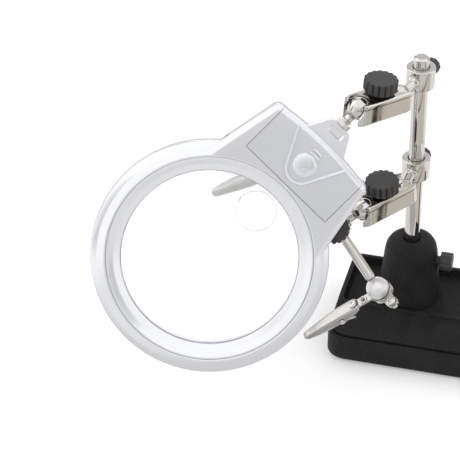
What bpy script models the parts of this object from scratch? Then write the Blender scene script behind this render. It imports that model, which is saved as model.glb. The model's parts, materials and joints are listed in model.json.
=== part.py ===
"""Battery LED magnifying lamp with two helping-hand clips on a cast-iron base.

Run with: blender --background --python part.py
The frame is metres, +Z up, with the origin at the centre of the pad that the base stands on.
X runs along the base and -Y is the front. The dimensions below are in millimetres and degrees,
and place() turns every shape into metres.
"""

import math

import bmesh
import bpy
from mathutils import Matrix, Vector

MM = 0.001
GAP = 0.3                      # clearance between neighbouring pieces

# Base casting
BASE_LENGTH = 160.0
BASE_DEPTH = 69.0
BASE_CORNER = 10.0
PAD_THICK = 1.0
PAD_INSET = 2.0
BAND_TOP = 15.0                # top of the upright band round the foot
RIM_TOP = 21.2                 # top of the tray's rim
FRONT_SLOPE = 22.0             # run of the sloping front face
SIDE_SLOPE = 1.5
BACK_SLOPE = 2.8
RIM_WIDTH = 2.6
TRAY_DEPTH = 5.5

# Column
COLUMN_X = -44.3
COLUMN_Y = 7.4
TOWER_TOP = 54.2
TOWER_R_TOP = 12.6
TOWER_R_FOOT = 16.5
COLUMN_R = 4.0
COLUMN_TOP = 163.0
UPPER_BALL_Z = 151.9
LOWER_BALL_Z = 98.3
COLLAR_R = 7.2
COLLAR_HALF = 5.5

# Ball joints and the two-plate arms
BALL_R = 5.7
NECK_R = 2.2
STUD_REACH = 21.35              # column axis to the ball on a collar
ARM_REACH = 24.6               # ball to ball
ARM_HALF_WIDTH = 7.3
ARM_TOP = 5.0                  # outer face of the top plate
ARM_BOTTOM = 6.2               # outer face of the bottom plate
TOP_WALL = 2.1
BOTTOM_WALL = 8.7
SHEET = 1.1
SEAT_R = 5.0
FORK_HALF = 5.6
REAR_FORK_HALF = 5.8
KNOB_R = 8.4
KNOB_LOBES = 16
KNOB_HEIGHT = 6.2
UPPER_KNOB_LOW = 7.0
LOWER_KNOB_LOW = 5.9
BLOCK_KNOB_LOW = 5.75
BOLT_R = 2.0
UPPER_STUD_YAW = 250.9
LOWER_STUD_YAW = 262.4
UPPER_ARM_YAW = 230.0
LOWER_ARM_YAW = 230.0
UPPER_ARM_RISE = 4.0
LOWER_ARM_RISE = -5.0

# Crossbar, its block and the clips
BLOCK_REACH = 15.8             # lower arm's ball to the crossbar's axis
BLOCK_AXIS = Vector((-0.748, -0.377, -0.546)).normalized()
BAR_AXIS = Vector((0.660, -0.334, -0.673)).normalized()
BAR_R = 2.5
BAR_LOW = 36.5                 # block to the lower end ball
BAR_HIGH = 36.5                # block to the upper end ball
LOWER_CLIP_AXIS = Vector((-0.778, -0.248, -0.572)).normalized()
UPPER_CLIP_AXIS = Vector((-0.858, -0.195, -0.474)).normalized()
VIEW_SIDE = Vector((0.203, -0.783, 0.588))
CLIP_TIP = 46.0
CLIP_REAR = 13.0
CLIP_RIVET_X = 15.5
CLIP_PIVOT = Vector((24.5, 0.0, -4.2))
TAB_LOW = -3.4
TAB_HIGH = -2.2
WING_TURN = 112.0
WING_REACH = 10.6

# Magnifier head: x to the ball, y across, z out of the lens's front
HEAD_REACH = 101.6             # lens centre to the ball
HEAD_AXIS = Vector((0.6095, 0.4473, 0.6544)).normalized()
HEAD_NORMAL = Vector((0.230, -0.890, 0.394))
RING_SEGMENTS = 56
RING_R = 58.0
SEAM_R = 50.2
BEZEL_R = 43.2
LENS_R = 45.0
LENS_EDGE = 1.1
LENS_CROWN = 4.5
INSERT_R = 9.75
INSERT_X = 32.0
SHELL_TOP = 7.0
RING_EDGE_TOP = 3.0
SHELL_BACK = 7.2
RING_BACK = 5.2
HOUSING_END = 77.8
HOUSING_BULGE = 2.0
HOUSING_HALF_END = 31.2
HOUSING_HALF_RING = 41.4
HOUSING_START = 20.0
HOUSING_BEVEL = 2.6
NECK_END = 89.8
COVER_START = 52.0
COVER_HALF = 26.4
COVER_THICK = 1.3
CELL_R = 5.25
CELL_HALF = 22.25
CELL_X = (59.5, 71.0)
LED_X = 45.0
LED_Y = 33.0
SWITCH_X = 62.0
SWITCH_Y = 29.0

COLOURS = {
    "cast_black": ((0.020, 0.020, 0.021, 1.0), 0.0, 0.75),
    "rubber_black": ((0.015, 0.015, 0.015, 1.0), 0.0, 0.90),
    "knob_black": ((0.030, 0.030, 0.031, 1.0), 0.0, 0.50),
    "chrome": ((0.80, 0.79, 0.77, 1.0), 1.0, 0.12),
    "steel": ((0.62, 0.62, 0.61, 1.0), 1.0, 0.30),
    "silver_plastic": ((0.66, 0.67, 0.70, 1.0), 0.25, 0.35),
    "cover_plastic": ((0.58, 0.59, 0.62, 1.0), 0.25, 0.38),
    "lens_clear": ((0.95, 0.97, 0.97, 1.0), 0.0, 0.03),
    "led_clear": ((0.92, 0.94, 1.00, 1.0), 0.0, 0.10),
    "cell_wrap": ((0.10, 0.12, 0.30, 1.0), 0.2, 0.35),
    "switch_black": ((0.03, 0.03, 0.03, 1.0), 0.0, 0.55),
}


# ---------------------------------------------------------------- helpers

def clear_scene():
    for obj in list(bpy.data.objects):
        bpy.data.objects.remove(obj, do_unlink=True)


def material(name):
    mat = bpy.data.materials.get(name)
    if mat:
        return mat
    colour, metallic, roughness = COLOURS[name]
    mat = bpy.data.materials.new(name)
    mat.use_nodes = True
    shader = mat.node_tree.nodes["Principled BSDF"]
    shader.inputs["Base Color"].default_value = colour
    shader.inputs["Metallic"].default_value = metallic
    shader.inputs["Roughness"].default_value = roughness
    return mat


def frame_matrix(origin, x_axis, z_hint):
    """A right-handed frame at origin (mm) with x along x_axis and z near z_hint."""
    x = Vector(x_axis).normalized()
    y = Vector(z_hint).cross(x).normalized()
    z = x.cross(y)
    basis = Matrix((x, y, z)).transposed().to_4x4()
    return Matrix.Translation(Vector(origin) * MM) @ basis


def empty(name, matrix, parent=None):
    obj = bpy.data.objects.new(name, None)
    bpy.context.collection.objects.link(obj)
    obj.parent = parent
    obj.matrix_basis = matrix
    return obj


def place(name, bm, colour, parent=None, at=(0, 0, 0), turn=None, smooth=True):
    """Turn a bmesh in millimetres into an object under parent, at a point in mm."""
    bmesh.ops.scale(bm, vec=(MM, MM, MM), verts=bm.verts)
    bmesh.ops.recalc_face_normals(bm, faces=bm.faces)
    mesh = bpy.data.meshes.new(name)
    bm.to_mesh(mesh)
    bm.free()
    if smooth:
        mesh.shade_smooth()
        mesh.set_sharp_from_angle(angle=math.radians(35))
    mesh.materials.append(material(colour))
    obj = bpy.data.objects.new(name, mesh)
    bpy.context.collection.objects.link(obj)
    obj.parent = parent
    local = Matrix.Translation(Vector(at) * MM)
    if turn is not None:
        local = local @ turn
    obj.matrix_basis = local
    return obj


def boolean(obj, tool, operation="DIFFERENCE"):
    """Cut or join tool, which becomes a hidden guide beside obj, at obj's own place."""
    tool.hide_render = True
    tool.display_type = "WIRE"
    mod = obj.modifiers.new(operation.lower(), "BOOLEAN")
    mod.operation = operation
    mod.solver = "EXACT"
    mod.object = tool


def cut(obj, bm, at=(0, 0, 0), turn=None, operation="DIFFERENCE"):
    tool = place("guide", bm, "steel", obj.parent, at=(0, 0, 0), smooth=False)
    tool.matrix_basis = obj.matrix_basis @ Matrix.Translation(Vector(at) * MM) @ (turn or Matrix())
    boolean(obj, tool, operation)
    return tool


def lathe(profile, segments):
    """Revolve (radius, height) points about Z. A profile that ends off the axis is closed on itself."""
    bm = bmesh.new()
    rings = []
    for radius, height in profile:
        if radius == 0:
            rings.append([bm.verts.new((0, 0, height))])
            continue
        turns = [2 * math.pi * i / segments for i in range(segments)]
        rings.append([bm.verts.new((radius * math.cos(t), radius * math.sin(t), height)) for t in turns])
    pairs = list(zip(rings, rings[1:]))
    if profile[0][0] != 0:
        pairs.append((rings[-1], rings[0]))
    for low, high in pairs:
        for i in range(segments):
            j = (i + 1) % segments
            if len(low) == 1:
                bm.faces.new((low[0], high[i], high[j]))
            elif len(high) == 1:
                bm.faces.new((low[i], low[j], high[0]))
            else:
                bm.faces.new((low[i], low[j], high[j], high[i]))
    return bm


def loft(sections):
    """Join outlines of equal point count, each (points, height), and cap both ends."""
    bm = bmesh.new()
    rings = [[bm.verts.new((x, y, height)) for x, y in points] for points, height in sections]
    count = len(rings[0])
    for low, high in zip(rings, rings[1:]):
        for i in range(count):
            j = (i + 1) % count
            bm.faces.new((low[i], low[j], high[j], high[i]))
    bm.faces.new(list(reversed(rings[0])))
    bm.faces.new(rings[-1])
    return bm


def prism(points, low, high):
    return loft([(points, low), (points, high)])


def box(low, high):
    points = [(low[0], low[1]), (high[0], low[1]), (high[0], high[1]), (low[0], high[1])]
    return prism(points, low[2], high[2])


def circle(radius, segments, x=0.0, y=0.0):
    turns = [2 * math.pi * i / segments for i in range(segments)]
    return [(x + radius * math.cos(t), y + radius * math.sin(t)) for t in turns]


def cylinder(radius, low, high, segments=24):
    return prism(circle(radius, segments), low, high)


def rounded_rectangle(x0, x1, y0, y1, radius, steps=5):
    points = []
    corners = ((x1, y1, 0), (x0, y1, 90), (x0, y0, 180), (x1, y0, 270))
    for x, y, start in corners:
        cx = x - math.copysign(radius, x - (x0 + x1) / 2)
        cy = y - math.copysign(radius, y - (y0 + y1) / 2)
        for i in range(steps + 1):
            t = math.radians(start + 90 * i / steps)
            points.append((cx + radius * math.cos(t), cy + radius * math.sin(t)))
    return points


def stadium(x0, x1, radius, steps=10):
    right = [math.radians(-90 + 180 * i / steps) for i in range(steps + 1)]
    left = [math.radians(90 + 180 * i / steps) for i in range(steps + 1)]
    points = [(x1 + radius * math.cos(t), radius * math.sin(t)) for t in right]
    return points + [(x0 + radius * math.cos(t), radius * math.sin(t)) for t in left]


def inset(points, distance):
    """Move each edge of a convex anticlockwise outline inwards."""
    result = []
    for i, point in enumerate(points):
        before = Vector(points[i - 1])
        here = Vector(point)
        after = Vector(points[(i + 1) % len(points)])
        first = (here - before).normalized()
        second = (after - here).normalized()
        normal = Vector((-first.y - second.y, first.x + second.x)).normalized()
        stretch = 1.0 / max(0.5, normal.dot(Vector((-first.y, first.x))))
        moved = here + normal * distance * stretch
        result.append((moved.x, moved.y))
    return result


def ball(radius=BALL_R, segments=16, rings=8):
    angles = [math.pi * i / rings for i in range(1, rings)]
    profile = [(radius * math.sin(t), -radius * math.cos(t)) for t in angles]
    return lathe([(0, -radius)] + profile + [(0, radius)], segments)


def coil(radius, wire, low, high, turns, steps=10, sides=5):
    """A round-wire helix about Z with flat ends."""
    bm = bmesh.new()
    rings = []
    count = int(turns * steps)
    for i in range(count + 1):
        angle = 2 * math.pi * i / steps
        height = low + wire + (high - low - 2 * wire) * i / count
        out = Vector((math.cos(angle), math.sin(angle), 0))
        ring = []
        for k in range(sides):
            side = 2 * math.pi * k / sides
            spot = out * (radius + wire * math.cos(side)) + Vector((0, 0, height + wire * math.sin(side)))
            ring.append(bm.verts.new(spot))
        rings.append(ring)
    for low_ring, high_ring in zip(rings, rings[1:]):
        for k in range(sides):
            n = (k + 1) % sides
            bm.faces.new((low_ring[k], low_ring[n], high_ring[n], high_ring[k]))
    bm.faces.new(rings[0])
    bm.faces.new(rings[-1])
    return bm


TO_X = Matrix.Rotation(math.radians(90), 4, "Y")       # a shape along +Z turned to +X
TO_MINUS_X = Matrix.Rotation(math.radians(-90), 4, "Y")
TO_Y = Matrix.Rotation(math.radians(-90), 4, "X")
UPSIDE_DOWN = Matrix.Rotation(math.radians(180), 4, "X")


def heading(yaw, rise=0.0):
    level = math.cos(math.radians(rise))
    x = level * math.cos(math.radians(yaw))
    y = level * math.sin(math.radians(yaw))
    return Vector((x, y, math.sin(math.radians(rise))))


# ---------------------------------------------------------------- places of the joints

UPPER_COLLAR = Vector((COLUMN_X, COLUMN_Y, UPPER_BALL_Z))
LOWER_COLLAR = Vector((COLUMN_X, COLUMN_Y, LOWER_BALL_Z))
UPPER_FAR = UPPER_COLLAR + heading(UPPER_STUD_YAW) * STUD_REACH
LOWER_FAR = LOWER_COLLAR + heading(LOWER_STUD_YAW) * STUD_REACH
HEAD_BALL = UPPER_FAR + heading(UPPER_ARM_YAW, UPPER_ARM_RISE) * ARM_REACH
BLOCK_BALL = LOWER_FAR + heading(LOWER_ARM_YAW, LOWER_ARM_RISE) * ARM_REACH
BLOCK = BLOCK_BALL + BLOCK_AXIS * BLOCK_REACH
BAR_LOW_BALL = BLOCK + BAR_AXIS * BAR_LOW
BAR_HIGH_BALL = BLOCK - BAR_AXIS * BAR_HIGH


# ---------------------------------------------------------------- base

def base_outline(margin=0.0):
    return rounded_rectangle(-BASE_LENGTH / 2 + margin, BASE_LENGTH / 2 - margin,
                             -BASE_DEPTH / 2 + margin, BASE_DEPTH / 2 - margin, BASE_CORNER - margin)


def rim_outline(margin, corner):
    return rounded_rectangle(-BASE_LENGTH / 2 + SIDE_SLOPE + margin, BASE_LENGTH / 2 - SIDE_SLOPE - margin,
                             -BASE_DEPTH / 2 + FRONT_SLOPE + margin, BASE_DEPTH / 2 - BACK_SLOPE - margin, corner)


def base_casting():
    floor = RIM_TOP - TRAY_DEPTH
    sections = [
        (base_outline(0.8), PAD_THICK + GAP),
        (base_outline(), PAD_THICK + GAP + 0.8),
        (base_outline(), BAND_TOP - 0.5),
        (base_outline(0.5), BAND_TOP),
        (rim_outline(0.0, 5.0), RIM_TOP - 0.6),
        (rim_outline(0.6, 4.6), RIM_TOP),
        (rim_outline(RIM_WIDTH, 3.2), RIM_TOP),
        (rim_outline(RIM_WIDTH + 1.2, 2.4), floor),
    ]
    casting = place("base_casting", loft(sections), "cast_black")
    centre = (COLUMN_X, COLUMN_Y, 0)
    tower = [(0, floor - 2), (TOWER_R_FOOT, floor - 2), (TOWER_R_TOP + 0.4, TOWER_TOP - 6),
             (TOWER_R_TOP - 0.6, TOWER_TOP - 2.5), (TOWER_R_TOP - 3.4, TOWER_TOP), (0, TOWER_TOP)]
    cut(casting, lathe(tower, 24), at=centre, operation="UNION")
    cut(casting, cylinder(COLUMN_R + GAP, floor + 6, TOWER_TOP + 1, 20), at=centre)
    cut(casting, cylinder(2.8, 0, TOWER_R_FOOT + 3, 16), at=(COLUMN_X, COLUMN_Y, 42), turn=TO_X)


def base_pad():
    place("base_pad", prism(base_outline(PAD_INSET), 0, PAD_THICK), "rubber_black")


def thumbscrew(shaft, head, low, high):
    """A screw along +Z whose round head spans low to high."""
    profile = [(0, 0), (shaft, 0), (shaft, low), (head - 0.6, low), (head, low + 0.6),
               (head, high - 0.6), (head - 0.6, high), (0, high)]
    return lathe(profile, 16)


def column():
    bottom = RIM_TOP - TRAY_DEPTH + 6 + GAP
    profile = [(0, bottom), (COLUMN_R, bottom), (COLUMN_R, COLUMN_TOP - 1), (COLUMN_R - 1, COLUMN_TOP), (0, COLUMN_TOP)]
    place("column_rod", lathe(profile, 20), "chrome", at=(COLUMN_X, COLUMN_Y, 0))
    reach = TOWER_R_FOOT - COLUMN_R
    place("column_set_screw", thumbscrew(2.4, 5.0, reach - 1.2, reach + 5), "knob_black",
          at=(COLUMN_X + COLUMN_R + GAP, COLUMN_Y, 42), turn=TO_X)


def collar(prefix, centre, yaw):
    """A ring on the column with a ball stud on one side and a thumbscrew on the other."""
    frame = empty(prefix + "_collar_frame", frame_matrix(centre, heading(yaw), (0, 0, 1)))
    inner = COLUMN_R + GAP
    half = COLLAR_HALF
    profile = [(inner, -half), (COLLAR_R - 0.8, -half), (COLLAR_R, -half + 0.8),
               (COLLAR_R, half - 0.8), (COLLAR_R - 0.8, half), (inner, half)]
    ring = place(prefix + "_collar", lathe(profile, 20), "chrome", frame)
    cut(ring, cylinder(1.9, COLUMN_R + 0.9, COLLAR_R + 2, 14), turn=TO_X)
    cut(ring, cylinder(1.9, 0, COLLAR_R + 2, 14), turn=TO_MINUS_X)
    tip = STUD_REACH - BALL_R - GAP
    stud = [(0, COLUMN_R + 1.2), (1.6, COLUMN_R + 1.2), (1.6, COLLAR_R + GAP), (3.4, COLLAR_R + GAP),
            (3.4, COLLAR_R + 1.6), (NECK_R, COLLAR_R + 2.4), (NECK_R, tip), (0, tip)]
    place(prefix + "_collar_stud", lathe(stud, 18), "chrome", frame, turn=TO_X)
    reach = COLLAR_R - COLUMN_R
    place(prefix + "_collar_screw", thumbscrew(1.6, 4.2, reach + GAP, reach + 5), "knob_black",
          frame, at=(-COLUMN_R - GAP, 0, 0), turn=TO_MINUS_X)


# ---------------------------------------------------------------- arms

def arm_plate(name, parent, top, depth, turn=None):
    """A stamped channel with forked ends. Its web is on top and its walls reach down by depth."""
    plate = place(name, prism(stadium(0, ARM_REACH, ARM_HALF_WIDTH), top - depth, top), "chrome", parent, turn=turn)
    cut(plate, prism(stadium(0, ARM_REACH, ARM_HALF_WIDTH - SHEET), -20, top - SHEET))
    for x, side, mouth in ((0, -1, REAR_FORK_HALF), (ARM_REACH, 1, FORK_HALF)):
        cut(plate, cylinder(SEAT_R, top - depth - 2, top + 2, 24), at=(x, 0, 0))
        ends = sorted((x - side * 0.7, x + side * 20))
        cut(plate, box((ends[0], -mouth, top - depth - 2), (ends[1], mouth, top + 2)))
    cut(plate, cylinder(BOLT_R + GAP, 0, top + 2, 16), at=(ARM_REACH / 2, 0, 0))
    return plate


def knob(name, parent, at, low, turn=None):
    """A lobed hand knob with a blind bore from below."""
    high = low + KNOB_HEIGHT
    steps = KNOB_LOBES * 2
    wave = [1.0, 0.93]

    def outline(radius):
        return [(x * wave[i % 2], y * wave[i % 2]) for i, (x, y) in enumerate(circle(radius, steps))]

    hub = KNOB_R - 2.4
    sections = [
        (circle(hub, steps), low - 0.7),
        (circle(hub, steps), low),
        (outline(KNOB_R), low),
        (outline(KNOB_R), high - 1.2),
        (outline(KNOB_R - 0.9), high - 0.25),
        (circle(KNOB_R - 2.4, steps), high),
    ]
    body = place(name, loft(sections), "knob_black", parent, at=at, turn=turn)
    cut(body, cylinder(BOLT_R + GAP, low - 3, high - 1.8, 16))
    return body


def bolt(name, parent, low, high, at):
    profile = [(0, low - 1.6), (2.2, low - 1.4), (3.6, low - 0.5), (3.6, low), (BOLT_R, low), (BOLT_R, high), (0, high)]
    place(name, lathe(profile, 16), "steel", parent, at=at)


def arm(prefix, far, direction, knob_low):
    frame = empty(prefix + "_arm_frame", frame_matrix(far, direction, (0, 0, 1)))
    arm_plate(prefix + "_arm_top_plate", frame, ARM_TOP, TOP_WALL)
    arm_plate(prefix + "_arm_bottom_plate", frame, ARM_BOTTOM, BOTTOM_WALL, turn=UPSIDE_DOWN)
    middle = (ARM_REACH / 2, 0, 0)
    bolt(prefix + "_arm_bolt", frame, -ARM_BOTTOM - GAP, knob_low + KNOB_HEIGHT - 2.2, at=middle)
    knob(prefix + "_arm_knob", frame, middle, knob_low)
    ends = (SHEET + GAP - ARM_BOTTOM, ARM_TOP - SHEET - GAP)
    place(prefix + "_arm_spring", coil(3.2, 0.45, *ends, 3.5, 9, 4), "steel", frame, at=middle)
    place(prefix + "_arm_far_ball", ball(), "chrome", frame)


# ---------------------------------------------------------------- crossbar

def block_frame():
    return frame_matrix(BLOCK_BALL, BLOCK_AXIS, BLOCK_AXIS.cross(BAR_AXIS))


def crossbar():
    """In the block's frame x is the stud, y the crossbar and z the side that faces out."""
    frame = empty("block_frame", block_frame())
    place("block_ball", ball(), "chrome", frame)
    at = (BLOCK_REACH, 0, 0)
    points = rounded_rectangle(-5.5, 5.5, -6, 6, 1.6, 3)
    body = loft([(inset(points, 0.7), -5), (points, -4.3), (points, 4.3), (inset(points, 0.7), 5)])
    block = place("crossbar_block", body, "chrome", frame, at=at)
    cut(block, cylinder(BAR_R + GAP, -9, 9, 20), turn=TO_Y)
    cut(block, cylinder(1.9, 3.6, 8, 14), turn=TO_MINUS_X)
    cut(block, cylinder(1.9, 0, 8, 14))
    face = BLOCK_REACH - 5.5
    stud = [(0, BALL_R + GAP), (NECK_R, BALL_R + GAP), (NECK_R, face - 2), (3.6, face - 1.6), (3.6, face - GAP),
            (1.6, face - GAP), (1.6, face + 1.6), (0, face + 1.6)]
    place("block_stud", lathe(stud, 18), "chrome", frame, turn=TO_X)
    tip = BLOCK_KNOB_LOW + KNOB_HEIGHT - 2.2
    pin = [(0, BAR_R + GAP), (1.6, BAR_R + GAP), (1.6, tip), (0, tip)]
    place("crossbar_screw", lathe(pin, 14), "steel", frame, at=at)
    knob("crossbar_knob", frame, at, BLOCK_KNOB_LOW)
    ends = (-BAR_HIGH + BALL_R + GAP, BAR_LOW - BALL_R - GAP)
    rod = [(0, ends[0]), (BAR_R - 0.3, ends[0]), (BAR_R, ends[0] + 1), (BAR_R, ends[1] - 1), (BAR_R - 0.3, ends[1]), (0, ends[1])]
    place("crossbar_rod", lathe(rod, 20), "chrome", frame, at=at, turn=bar_turn())


def bar_turn():
    """Turns a shape along +Z to the crossbar's axis in the block's frame."""
    local = block_frame().to_3x3().inverted() @ BAR_AXIS
    return Vector((0, 0, 1)).rotation_difference(local).to_matrix().to_4x4()


# ---------------------------------------------------------------- clips

def jaw(name, parent, stations, wall, colour="steel"):
    """Loft a U channel along x through stations of (x, half width, web height, edge height)."""
    bm = bmesh.new()
    rings = []
    for x, half, web, edge in stations:
        down = math.copysign(wall, web - edge)
        section = [(-half, edge), (-half, web), (half, web), (half, edge),
                   (half - wall, edge), (half - wall, web - down), (wall - half, web - down), (wall - half, edge)]
        rings.append([bm.verts.new((x, y, z)) for y, z in section])
    for first, second in zip(rings, rings[1:]):
        for i in range(8):
            j = (i + 1) % 8
            bm.faces.new((first[i], first[j], second[j], second[i]))
    for ring in (rings[0], rings[-1]):
        for quad in ((0, 1, 6, 7), (1, 2, 5, 6), (2, 3, 4, 5)):
            bm.faces.new([ring[k] for k in quad])
    return place(name, bm, colour, parent, smooth=False)


def clip(prefix, centre, axis, side):
    """A clip whose bracket is a cup under the end ball. z is the side that the cup leaves open."""
    frame = empty(prefix + "_clip_frame", frame_matrix(centre, axis, side))
    place(prefix + "_end_ball", ball(), "chrome", frame)
    floor, seat = -5.8, -4.6
    cup = [(4.1, floor), (6.8, floor), (7.1, seat), (7.1, -0.8), (6.1, -0.8), (6.1, seat), (4.1, seat)]
    bracket = place(prefix + "_clip_bracket", lathe(cup, 20), "chrome", frame)
    tab = [(6.4, -2.6), (15.8, -2.6), (17.6, -1.4), (17.6, 1.4), (15.8, 2.6), (6.4, 2.6)]
    cut(bracket, prism(tab, TAB_LOW, TAB_HIGH), operation="UNION")
    wing_axis = Matrix.Rotation(math.radians(WING_TURN), 4, "Z")
    wing = [(6.4, -2.9), (WING_REACH + 0.5, -2.9), (WING_REACH + 2.6, -1.4), (WING_REACH + 2.6, 1.4),
            (WING_REACH + 0.5, 2.9), (6.4, 2.9)]
    cut(bracket, prism(wing, TAB_LOW, TAB_HIGH), turn=wing_axis, operation="UNION")
    cut(bracket, cylinder(1.3, TAB_LOW - 1, TAB_HIGH + 1, 12), at=(CLIP_RIVET_X, 0, 0))
    screw_at = wing_axis @ Vector((WING_REACH, 0, 0))
    cut(bracket, cylinder(1.5, TAB_LOW - 1, TAB_HIGH + 1, 12), at=screw_at)
    screw = [(0, TAB_LOW - 2.2), (2.3, TAB_LOW - 2.2), (2.3, TAB_LOW - GAP), (1.2, TAB_LOW - GAP),
             (1.2, TAB_HIGH + GAP), (2.3, TAB_HIGH + GAP), (2.0, TAB_HIGH + 1.6), (0, TAB_HIGH + 1.8)]
    place(prefix + "_bracket_screw", lathe(screw, 12), "steel", frame, at=screw_at)
    clip_jaws(prefix, frame)
    rivet = [(0, TAB_LOW - 0.9), (2.0, TAB_LOW - 0.9), (2.0, TAB_LOW - GAP), (1.0, TAB_LOW - GAP),
             (1.0, TAB_HIGH + 1.3), (2.1, TAB_HIGH + 1.3), (1.8, TAB_HIGH + 2.0), (0, TAB_HIGH + 2.1)]
    place(prefix + "_clip_rivet", lathe(rivet, 12), "steel", frame, at=(CLIP_RIVET_X, 0, 0))


def clip_jaws(prefix, frame):
    """Heights are from the tab: the upper jaw straddles it, and the lower jaw's walls fit inside."""
    web = TAB_HIGH + 1.0
    pivot = CLIP_PIVOT.x
    upper = jaw(prefix + "_clip_upper_jaw", frame, (
        (CLIP_REAR, 3.7, web, web - 1.6), (CLIP_REAR + 1.5, 3.7, web, web - 2.8), (pivot - 3, 3.7, web, web - 3.8),
        (pivot + 3, 3.6, web - 0.1, web - 4.0), (CLIP_TIP - 8, 2.6, web - 1.0, web - 3.4),
        (CLIP_TIP, 1.7, web - 2.0, web - 3.4)), 0.6)
    lower = jaw(prefix + "_clip_lower_jaw", frame, (
        (pivot - 6, 2.4, web - 7.8, web - 6.2), (pivot - 2.4, 2.6, web - 6.3, web - 2.2),
        (pivot + 2.4, 2.6, web - 6.2, web - 2.2), (pivot + 5, 2.5, web - 6.1, web - 4.0),
        (CLIP_TIP - 8, 2.4, web - 5.8, web - 3.7), (CLIP_TIP - 0.4, 1.6, web - 4.8, web - 3.7)), 0.55)
    cut(upper, cylinder(1.15, -6, 6, 12), at=CLIP_PIVOT, turn=TO_Y)
    cut(lower, cylinder(1.15, -6, 6, 12), at=CLIP_PIVOT, turn=TO_Y)
    cut(upper, cylinder(1.3, -6, 2, 12), at=(CLIP_RIVET_X, 0, 0))
    pin = [(0, -4.6), (1.4, -4.6), (1.4, -4.0), (0.8, -4.0), (0.8, 4.0), (1.4, 4.0), (1.4, 4.6), (0, 4.6)]
    place(prefix + "_clip_pin", lathe(pin, 12), "steel", frame, at=CLIP_PIVOT, turn=TO_Y)
    spring = coil(1.6, 0.28, -1.6, 1.6, 4, 8, 4)
    place(prefix + "_clip_spring", spring, "steel", frame, at=CLIP_PIVOT, turn=TO_Y)


# ---------------------------------------------------------------- magnifier head

def housing_outline():
    """The battery housing's outline, anticlockwise, from the lens side to its bowed end."""
    corner = [(HOUSING_END - 7.5, HOUSING_HALF_END + 0.6), (HOUSING_END - 3.6, HOUSING_HALF_END - 0.6),
              (HOUSING_END - 0.9, HOUSING_HALF_END - 3.4)]
    steps = 10
    half = HOUSING_HALF_END - 5.5
    bow = []
    for i in range(steps + 1):
        y = -half + 2 * half * i / steps
        bow.append((HOUSING_END + HOUSING_BULGE * (1 - (y / half) ** 2), y))
    low_side = [(HOUSING_START, -HOUSING_HALF_RING)] + [(x, -y) for x, y in corner]
    high_side = list(reversed(corner)) + [(HOUSING_START, HOUSING_HALF_RING)]
    return low_side + bow + high_side


def head_front_shell(frame, at):
    ring = [(SEAM_R + GAP, 0.15), (RING_R, 0.15), (RING_R, RING_EDGE_TOP), (RING_R - 0.4, RING_EDGE_TOP + 0.4),
            (SEAM_R + 0.9, SHELL_TOP), (SEAM_R + GAP, SHELL_TOP - 0.2)]
    shell = place("head_front_shell", lathe(ring, RING_SEGMENTS), "silver_plastic", frame, at=at)
    outline = housing_outline()
    body = [(outline, 0.15), (outline, SHELL_TOP - 2.2), (inset(outline, 0.7), SHELL_TOP - 1.0),
            (inset(outline, HOUSING_BEVEL), SHELL_TOP)]
    housing = cut(shell, loft(body), operation="UNION")
    cut(housing, cylinder(SEAM_R + 0.83, -2, SHELL_TOP + 2, 72))
    seat = SHELL_TOP - COVER_THICK - GAP
    cut(shell, box((COVER_START - GAP, -COVER_HALF - GAP, seat), (95, COVER_HALF + GAP, SHELL_TOP + 2)))
    cut(shell, box((53.5, -24.8, -1), (77.0, 24.8, SHELL_TOP)))
    return shell


def head_rear_shell(frame, at):
    lip = LENS_EDGE + 0.35
    ring = [(43.5, -lip - 0.3), (43.5, -RING_BACK), (RING_R - 2, -RING_BACK), (RING_R, -RING_BACK + 1.6), (RING_R, -0.15),
            (SEAM_R, -0.15), (SEAM_R, LENS_EDGE), (LENS_R + 0.35, LENS_EDGE), (LENS_R + 0.35, -lip)]
    shell = place("head_rear_shell", lathe(ring, RING_SEGMENTS), "silver_plastic", frame, at=at)
    outline = housing_outline()
    body = [(inset(outline, 1.6), -SHELL_BACK), (outline, -SHELL_BACK + 1.6), (outline, -0.22)]
    tray = cut(shell, loft(body), operation="UNION")
    cut(tray, cylinder((LENS_R + SEAM_R) / 2, -9, 8, 72))
    start = HOUSING_END + HOUSING_BULGE + GAP
    neck = [(start, -13), (NECK_END - 1.5, -6.6), (NECK_END, -5), (NECK_END, 5), (NECK_END - 1.5, 6.6), (start, 13)]
    tongue = [(74, -12), (start + 2, -11), (start + 2, 11), (74, 12)]
    cut(shell, prism(tongue, -5.0, -0.5), operation="UNION")
    cut(shell, loft([(neck, -5.4), (neck, 3.6), (inset(neck, 0.6), 4.2)]), operation="UNION")
    cut(shell, box((53.5, -24.8, -SHELL_BACK + 1.6), (77.0, 24.8, 2)))
    cut(shell, box((NECK_END - 4.2, -5.2, 2.8), (NECK_END - 1.2, 5.2, 6)))
    cut(shell, cylinder(2.3, NECK_END - 8, NECK_END + 4, 16), turn=TO_X)
    for y in (-LED_Y, LED_Y):
        cut(shell, box((LED_X - 3.6, y - 2.9, -SHELL_BACK + 1.8), (LED_X + 3.6, y + 2.9, 2)))
        cut(shell, cylinder(1.85, -10, 0, 14), at=(LED_X, y, 0))
    cut(shell, box((SWITCH_X - 5, SWITCH_Y - 2.2, -SHELL_BACK + 1.8), (SWITCH_X + 5, SWITCH_Y + 2.2, 2)))
    cut(shell, box((SWITCH_X - 3.8, SWITCH_Y - 1.3, -12), (SWITCH_X + 3.8, SWITCH_Y + 1.3, 0)))
    return shell


def lens_profile(radius, steps, edge, crown):
    def height(r):
        return edge + (crown - edge) * (1 - (r / radius) ** 2)
    radii = [radius * i / steps for i in range(steps + 1)]
    back = [(r, -height(r)) for r in radii]
    front = [(r, height(r)) for r in reversed(radii)]
    return back + front


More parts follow.
